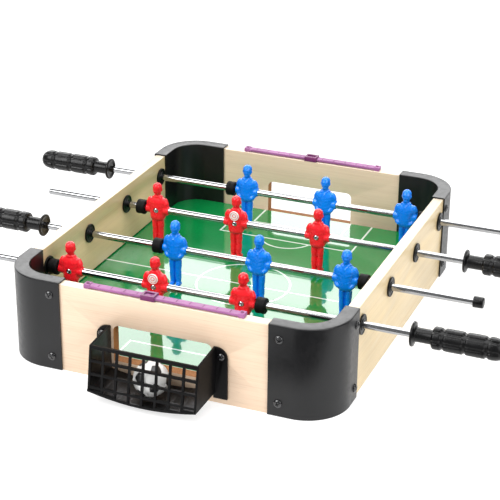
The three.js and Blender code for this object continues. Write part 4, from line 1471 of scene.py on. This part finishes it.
        # The shirt's open collar: a raised V in front that runs round the neck.
        v_line = 12.9 - 3.8 * np.exp(-(x / 1.7) ** 2)
        collar = np.exp(-(((z - v_line) / 0.55) ** 2)) * (np.abs(x) < 4.2) * (y > 0)
        push += 0.5 * collar
        back_collar = np.exp(-(((z - 13.0) / 0.6) ** 2)) * (y <= 0) * (np.abs(x) < 4.6)
        push += 0.35 * back_collar
        # The placket down the chest, the shirt's hem and the shorts' centre crease.
        push -= 0.25 * np.exp(-((x / 0.45) ** 2)) * front * (z > 3.0) * (z < 9.6)
        push -= 0.35 * np.exp(-(((z + 9.9) / 0.5) ** 2)) * (np.abs(x) < 7.5)
        push -= 0.7 * np.exp(-((x / 0.8) ** 2)) * (z < -11.0)
        # Folds of the shirt under each arm.
        for row in (-4.6, -1.8, 1.6, 4.6):
            slope = row + 0.35 * np.abs(x)
            push -= 0.16 * np.exp(-(((z - slope) / 0.5) ** 2)) * (np.abs(x) < 6.6) * (
                np.abs(x) > 1.2)
        p = p + n * push[:, None]
        p[:, 2] = np.clip(p[:, 2], self.foot / MM, self.top / MM)
        p[:, 0] = np.clip(p[:, 0], -self.half_width / MM, self.half_width / MM)
        mesh.vertices.foreach_set("co", (p * MM).ravel())
        mesh.update()

    def drill(self, skin: bpy.types.Object) -> None:
        """Cuts the rod's bore along X and the screw's counterbore in the back."""
        form = bmesh.new()
        reach, deep = self.bore_reach, self.counterbore_length
        revolve(form, [(-reach, 0), (-reach, self.bore), (reach, self.bore), (reach, 0)],
                Vector((0, 0, 0)), 1, 32)
        rod = closed_object("bore_cutter", form)
        form = bmesh.new()
        revolve(form, [(0, 0), (0, self.counterbore), (deep, self.counterbore), (deep, 0)],
                Vector((0, 0, 0)), 1, 28)
        bmesh.ops.rotate(form, verts=form.verts, cent=(0, 0, 0),
                         matrix=Matrix.Rotation(-math.pi / 2, 3, "Z"))
        bmesh.ops.translate(form, verts=form.verts, vec=(0, -self.counterbore_start, 0))
        back = closed_object("counterbore_cutter", form)
        for cutter in (rod, back):
            cut = skin.modifiers.new("cut", "BOOLEAN")
            cut.operation, cut.solver, cut.object = "DIFFERENCE", "EXACT", cutter
        settle(skin, 40.0)
        discard(rod, back)


@dataclass
class Teams:
    """All twelve players with their screws and the badges of the two middle red ones."""

    badge_radius: float = 4.3 * MM
    badge_height: float = 7.9 * MM
    badge_back: float = 4.6 * MM
    badge_thickness: float = 1.1 * MM
    groove_level: float = 0.85 * MM
    screw_seat: float = 3.8 * MM
    places: tuple[str, str, str] = ("left", "middle", "right")

    def build(self) -> None:
        """Copies the player to its twelve places and adds what goes with it."""
        base = Player().shape()
        for number in ROD_NUMBERS:
            team = TEAM_OF_ROD[number]
            points, ways = [], []
            for place in self.places:
                node = f"player_{number}_{place}"
                low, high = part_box(node)
                rod_low, rod_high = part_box(f"rod_{number}")
                centre = Vector(((low.x + high.x) / 2, (rod_low.y + rod_high.y) / 2,
                                 (rod_low.z + rod_high.z) / 2))
                self.place(base, node, number, centre)
                points.append(centre + Vector((0, -team.value * self.screw_seat, 0)))
                ways.append(Vector((0, -team.value, 0)))
                if place == "middle" and team is Team.RED:
                    self.badge(number, centre, -team.value)
            row = CrossScrew(2.5 * MM, 1.3 * MM, 1.75 * MM, 0.8 * MM, 1.0 * MM, 20).stand(
                f"player_screws_{number}", points, ways, Paints.STEEL, 20 + number)
            fit(row, f"rod_{number}", f"player_{team.word}")
        discard(base)

    def place(self, base: bpy.types.Object, node: str, number: int, centre: Vector) -> None:
        """Copies the player to one place.

        Args:
            base: The player at the origin.
            node: The CAD node that the copy stands for.
            number: The rod's number.
            centre: The point on the rod's axis.
        """
        team = TEAM_OF_ROD[number]
        mesh = base.data.copy()
        turn = Matrix.Rotation(0 if team is Team.RED else math.pi, 4, "Z")
        mesh.transform(Matrix.Translation(centre) @ turn)
        mesh.materials.clear()
        finish = Paints.RED if team is Team.RED else Paints.BLUE
        piece = new_object(f"{node}_figure", mesh, [finish])
        fit(piece, f"rod_{number}", f"player_{team.word}", node)

    def badge(self, number: int, centre: Vector, way: int) -> None:
        """Makes the round white badge, with plain rings, on a middle player's back."""
        r, top, low = self.badge_radius, self.badge_thickness, self.groove_level
        outline = rounded(
            [(0, 0), (0, r), (top, r), (top, 0.84 * r), (low, 0.8 * r), (low, 0.74 * r),
             (top, 0.7 * r), (top, 0.42 * r), (low, 0.38 * r), (low, 0.3 * r), (top, 0.26 * r),
             (top, 0)],
            [v * MM for v in (0, 0, 0.3, 0.1, 0, 0, 0.1, 0.1, 0, 0, 0.1, 0)], 3)
        form = bmesh.new()
        revolve(form, outline, Vector((0, 0, 0)), 1, 40)
        bmesh.ops.rotate(form, verts=form.verts, cent=(0, 0, 0),
                         matrix=Matrix.Rotation(way * math.pi / 2, 3, "Z"))
        bmesh.ops.translate(form, verts=form.verts, vec=centre + Vector(
            (0, way * self.badge_back, self.badge_height)))
        groove_top = self.badge_back + self.badge_thickness - 0.15 * MM
        for face in form.faces:
            depth = way * (face.calc_center_median().y - centre.y)
            face.material_index = 1 if depth < groove_top and abs(face.normal.y) > 0.2 else 0
        piece = closed_object(f"player_badge_{number}", form, [Paints.BADGE, Paints.RED])
        fit(piece, f"rod_{number}", f"player_{Team.RED.word}")


@dataclass
class Ball:
    """The ball, with white six-sided and black five-sided panels and sunk seams."""

    seam_depth: float = 0.4 * MM
    seam_width: float = 0.055
    cuts: int = 5
    turn: tuple[float, float, float] = (0.35, 0.5, 0.2)

    def build(self) -> None:
        """Builds the ball."""
        low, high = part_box("ball")
        centre, radius = (low + high) / 2, (high.z - low.z) / 2
        form = bmesh.new()
        bmesh.ops.create_icosphere(form, subdivisions=1, radius=1.0)
        bmesh.ops.bevel(form, geom=list(form.verts), offset=100 / 3, offset_type="PERCENT",
                        segments=1, affect="VERTICES", clamp_overlap=False)
        bmesh.ops.remove_doubles(form, verts=form.verts, dist=1e-4)
        form.faces.ensure_lookup_table()
        planes = []
        for face in form.faces:
            face.material_index = 1 if len(face.verts) == 5 else 0
            middle = face.calc_center_median()
            planes.append(middle / middle.length_squared)
        bmesh.ops.poke(form, faces=list(form.faces))
        bmesh.ops.subdivide_edges(form, edges=list(form.edges), cuts=self.cuts,
                                  use_grid_fill=True)
        flat = np.array([tuple(p) for p in planes])
        spin = Matrix.Rotation(self.turn[0], 3, "X") @ Matrix.Rotation(
            self.turn[1], 3, "Y") @ Matrix.Rotation(self.turn[2], 3, "Z")
        for vert in form.verts:
            way = vert.co.normalized()
            reach = np.sort(flat @ np.array(way))
            near = max(0.0, 1 - (reach[-1] - reach[-2]) / self.seam_width)
            sunk = self.seam_depth * near**2
            vert.co = centre + (spin @ way) * (radius - sunk)
        piece = closed_object("ball_panels", form, [Paints.BALL_WHITE, Paints.BALL_BLACK], 60.0)
        fit(piece, "ball", "ball_white", "ball")


@dataclass
class Studio:
    """The floor, the lights and the camera."""

    floor_size: float = 14.0
    camera_place: tuple[float, float, float] = (0.45049, -1.08980, 0.58943)
    camera_back: tuple[float, float, float] = (0.3405, -0.8459, 0.4107)
    camera_roll: float = 0.549
    lens: float = 110.51
    fill: float = 0.3
    screen_way: tuple[float, float, float] = (-0.373, 0.928, 0)
    screen_distance: float = 2.2
    screen_half: float = 2.6
    screen_heights: tuple[float, float] = (0.7, 2.3)
    screen_strength: float = 5.0
    card_x: tuple[float, float] = (0.05, 1.0)
    card_y: tuple[float, float] = (-1.1, -0.205)

    def build(self) -> None:
        """Sets the whole stage."""
        scene = bpy.context.scene
        scene.view_settings.view_transform = "Standard"
        self.floor()
        self.lights()
        self.camera()

    def floor(self) -> None:
        """Lays the plain floor."""
        form = bmesh.new()
        bmesh.ops.create_grid(form, x_segments=2, y_segments=2, size=self.floor_size / 2)
        floor = closed_object("floor", form, [StudioFloor("floor_white", (0.45, 0.45, 0.45), 0.8)])

    def area(self, name: str, place: Vector, aim: Vector, size: Point2, power: float) -> None:
        """Hangs one soft light.

        Args:
            name: Its name.
            place: Where it hangs.
            aim: What it points at.
            size: Its width and height.
            power: Its power in watts.
        """
        data = bpy.data.lights.new(name, "AREA")
        data.shape = "RECTANGLE"
        data.size, data.size_y, data.energy = size[0], size[1], power
        lamp = bpy.data.objects.new(name, data)
        lamp.location = place
        lamp.rotation_euler = (aim - place).to_track_quat("-Z", "Y").to_euler()
        bpy.context.scene.collection.objects.link(lamp)

    def reflected(self, name: str, corners: Sequence[Sequence[float]],
                  material: bpy.types.Material) -> None:
        """Stands a flat sheet that only glossy surfaces see.

        Args:
            name: Its name.
            corners: Its four corners, in order.
            material: Its material.
        """
        form = bmesh.new()
        form.faces.new([form.verts.new(c) for c in corners])
        mesh = bpy.data.meshes.new(name)
        form.to_mesh(mesh)
        form.free()
        mesh.materials.append(material)
        sheet = new_object(name, mesh)
        sheet.visible_diffuse = False
        sheet.visible_camera = False
        sheet.visible_shadow = False

    def screen(self) -> None:
        """Stands the bright screen behind the table."""
        way = Vector(self.screen_way).normalized()
        across = Vector((way.y, -way.x, 0)) * self.screen_half
        foot = way * self.screen_distance
        low, high = (Vector((0, 0, z)) for z in self.screen_heights)
        material = bpy.data.materials.new("screen_glow")
        material.use_nodes = True
        material.node_tree.nodes.clear()
        wire = Wiring(material.node_tree)
        glow = wire.node("ShaderNodeEmission", {"Strength": self.screen_strength})
        out = wire.node("ShaderNodeOutputMaterial")
        wire.feed(out.inputs["Surface"], glow.outputs[0])
        self.reflected("back_screen", [foot - across + low, foot + across + low,
                                       foot + across + high, foot - across + high], material)

    def dark_card(self) -> None:
        """Lays the dark card before the right post. Only glossy surfaces see it, so it is a painted
        dark reflection on the right post's front and the pieces near it.
        """
        (left, right), (near, far) = self.card_x, self.card_y
        self.reflected("dark_card", [(left, near, 1 * MM), (right, near, 1 * MM),
                                     (right, far, 1 * MM), (left, far, 1 * MM)],
                       Moulded("card_grey", shade(70, 70, 70), 0.9).material())

    def lights(self) -> None:
        """Hangs the soft lights and sets the world's fill."""
        world = bpy.data.worlds.new("fill")
        world.use_nodes = True
        fill = world.node_tree.nodes["Background"]
        fill.inputs["Color"].default_value = (1, 1, 1, 1)
        fill.inputs["Strength"].default_value = self.fill
        bpy.context.scene.world = world
        aim = Vector((0, 0, 0.04))
        self.area("key_soft", Vector((-1.3, -1.7, 1.9)), aim, (1.6, 1.6), 56)
        self.area("right_soft", Vector((1.9, -0.9, 1.2)), aim, (1.4, 1.4), 24)
        self.area("top_soft", Vector((0.1, 0.1, 2.3)), aim, (1.8, 1.8), 38)
        self.screen()
        self.dark_card()

    def camera(self) -> None:
        """Places the camera."""
        data = bpy.data.cameras.new("camera")
        data.lens, data.sensor_width = self.lens, 36.0
        data.clip_start, data.clip_end = 0.05, 60.0
        camera = bpy.data.objects.new("camera", data)
        back = Vector(self.camera_back).normalized()
        right = Vector((0, 0, 1)).cross(back).normalized()
        up = back.cross(right)
        c, s = math.cos(math.radians(self.camera_roll)), math.sin(math.radians(self.camera_roll))
        x_axis, y_axis = right * c + up * s, up * c - right * s
        turn = Matrix((x_axis, y_axis, back)).transposed()
        camera.matrix_world = Matrix.Translation(self.camera_place) @ turn.to_4x4()
        bpy.context.scene.collection.objects.link(camera)
        bpy.context.scene.camera = camera


def main() -> None:
    """Builds every sub-assembly in order."""
    logging.basicConfig(level=logging.INFO, format="%(name)s: %(message)s")
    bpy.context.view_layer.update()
    Studio().build()
    WoodBox().build()
    Pitch().build()
    CornerPosts().build()
    GoalCage().build()
    ScoreBars().build()
    for number in ROD_NUMBERS:
        RodLine(number).build()
    Teams().build()
    Ball().build()
    bpy.context.view_layer.update()


if __name__ == "__main__":
    main()
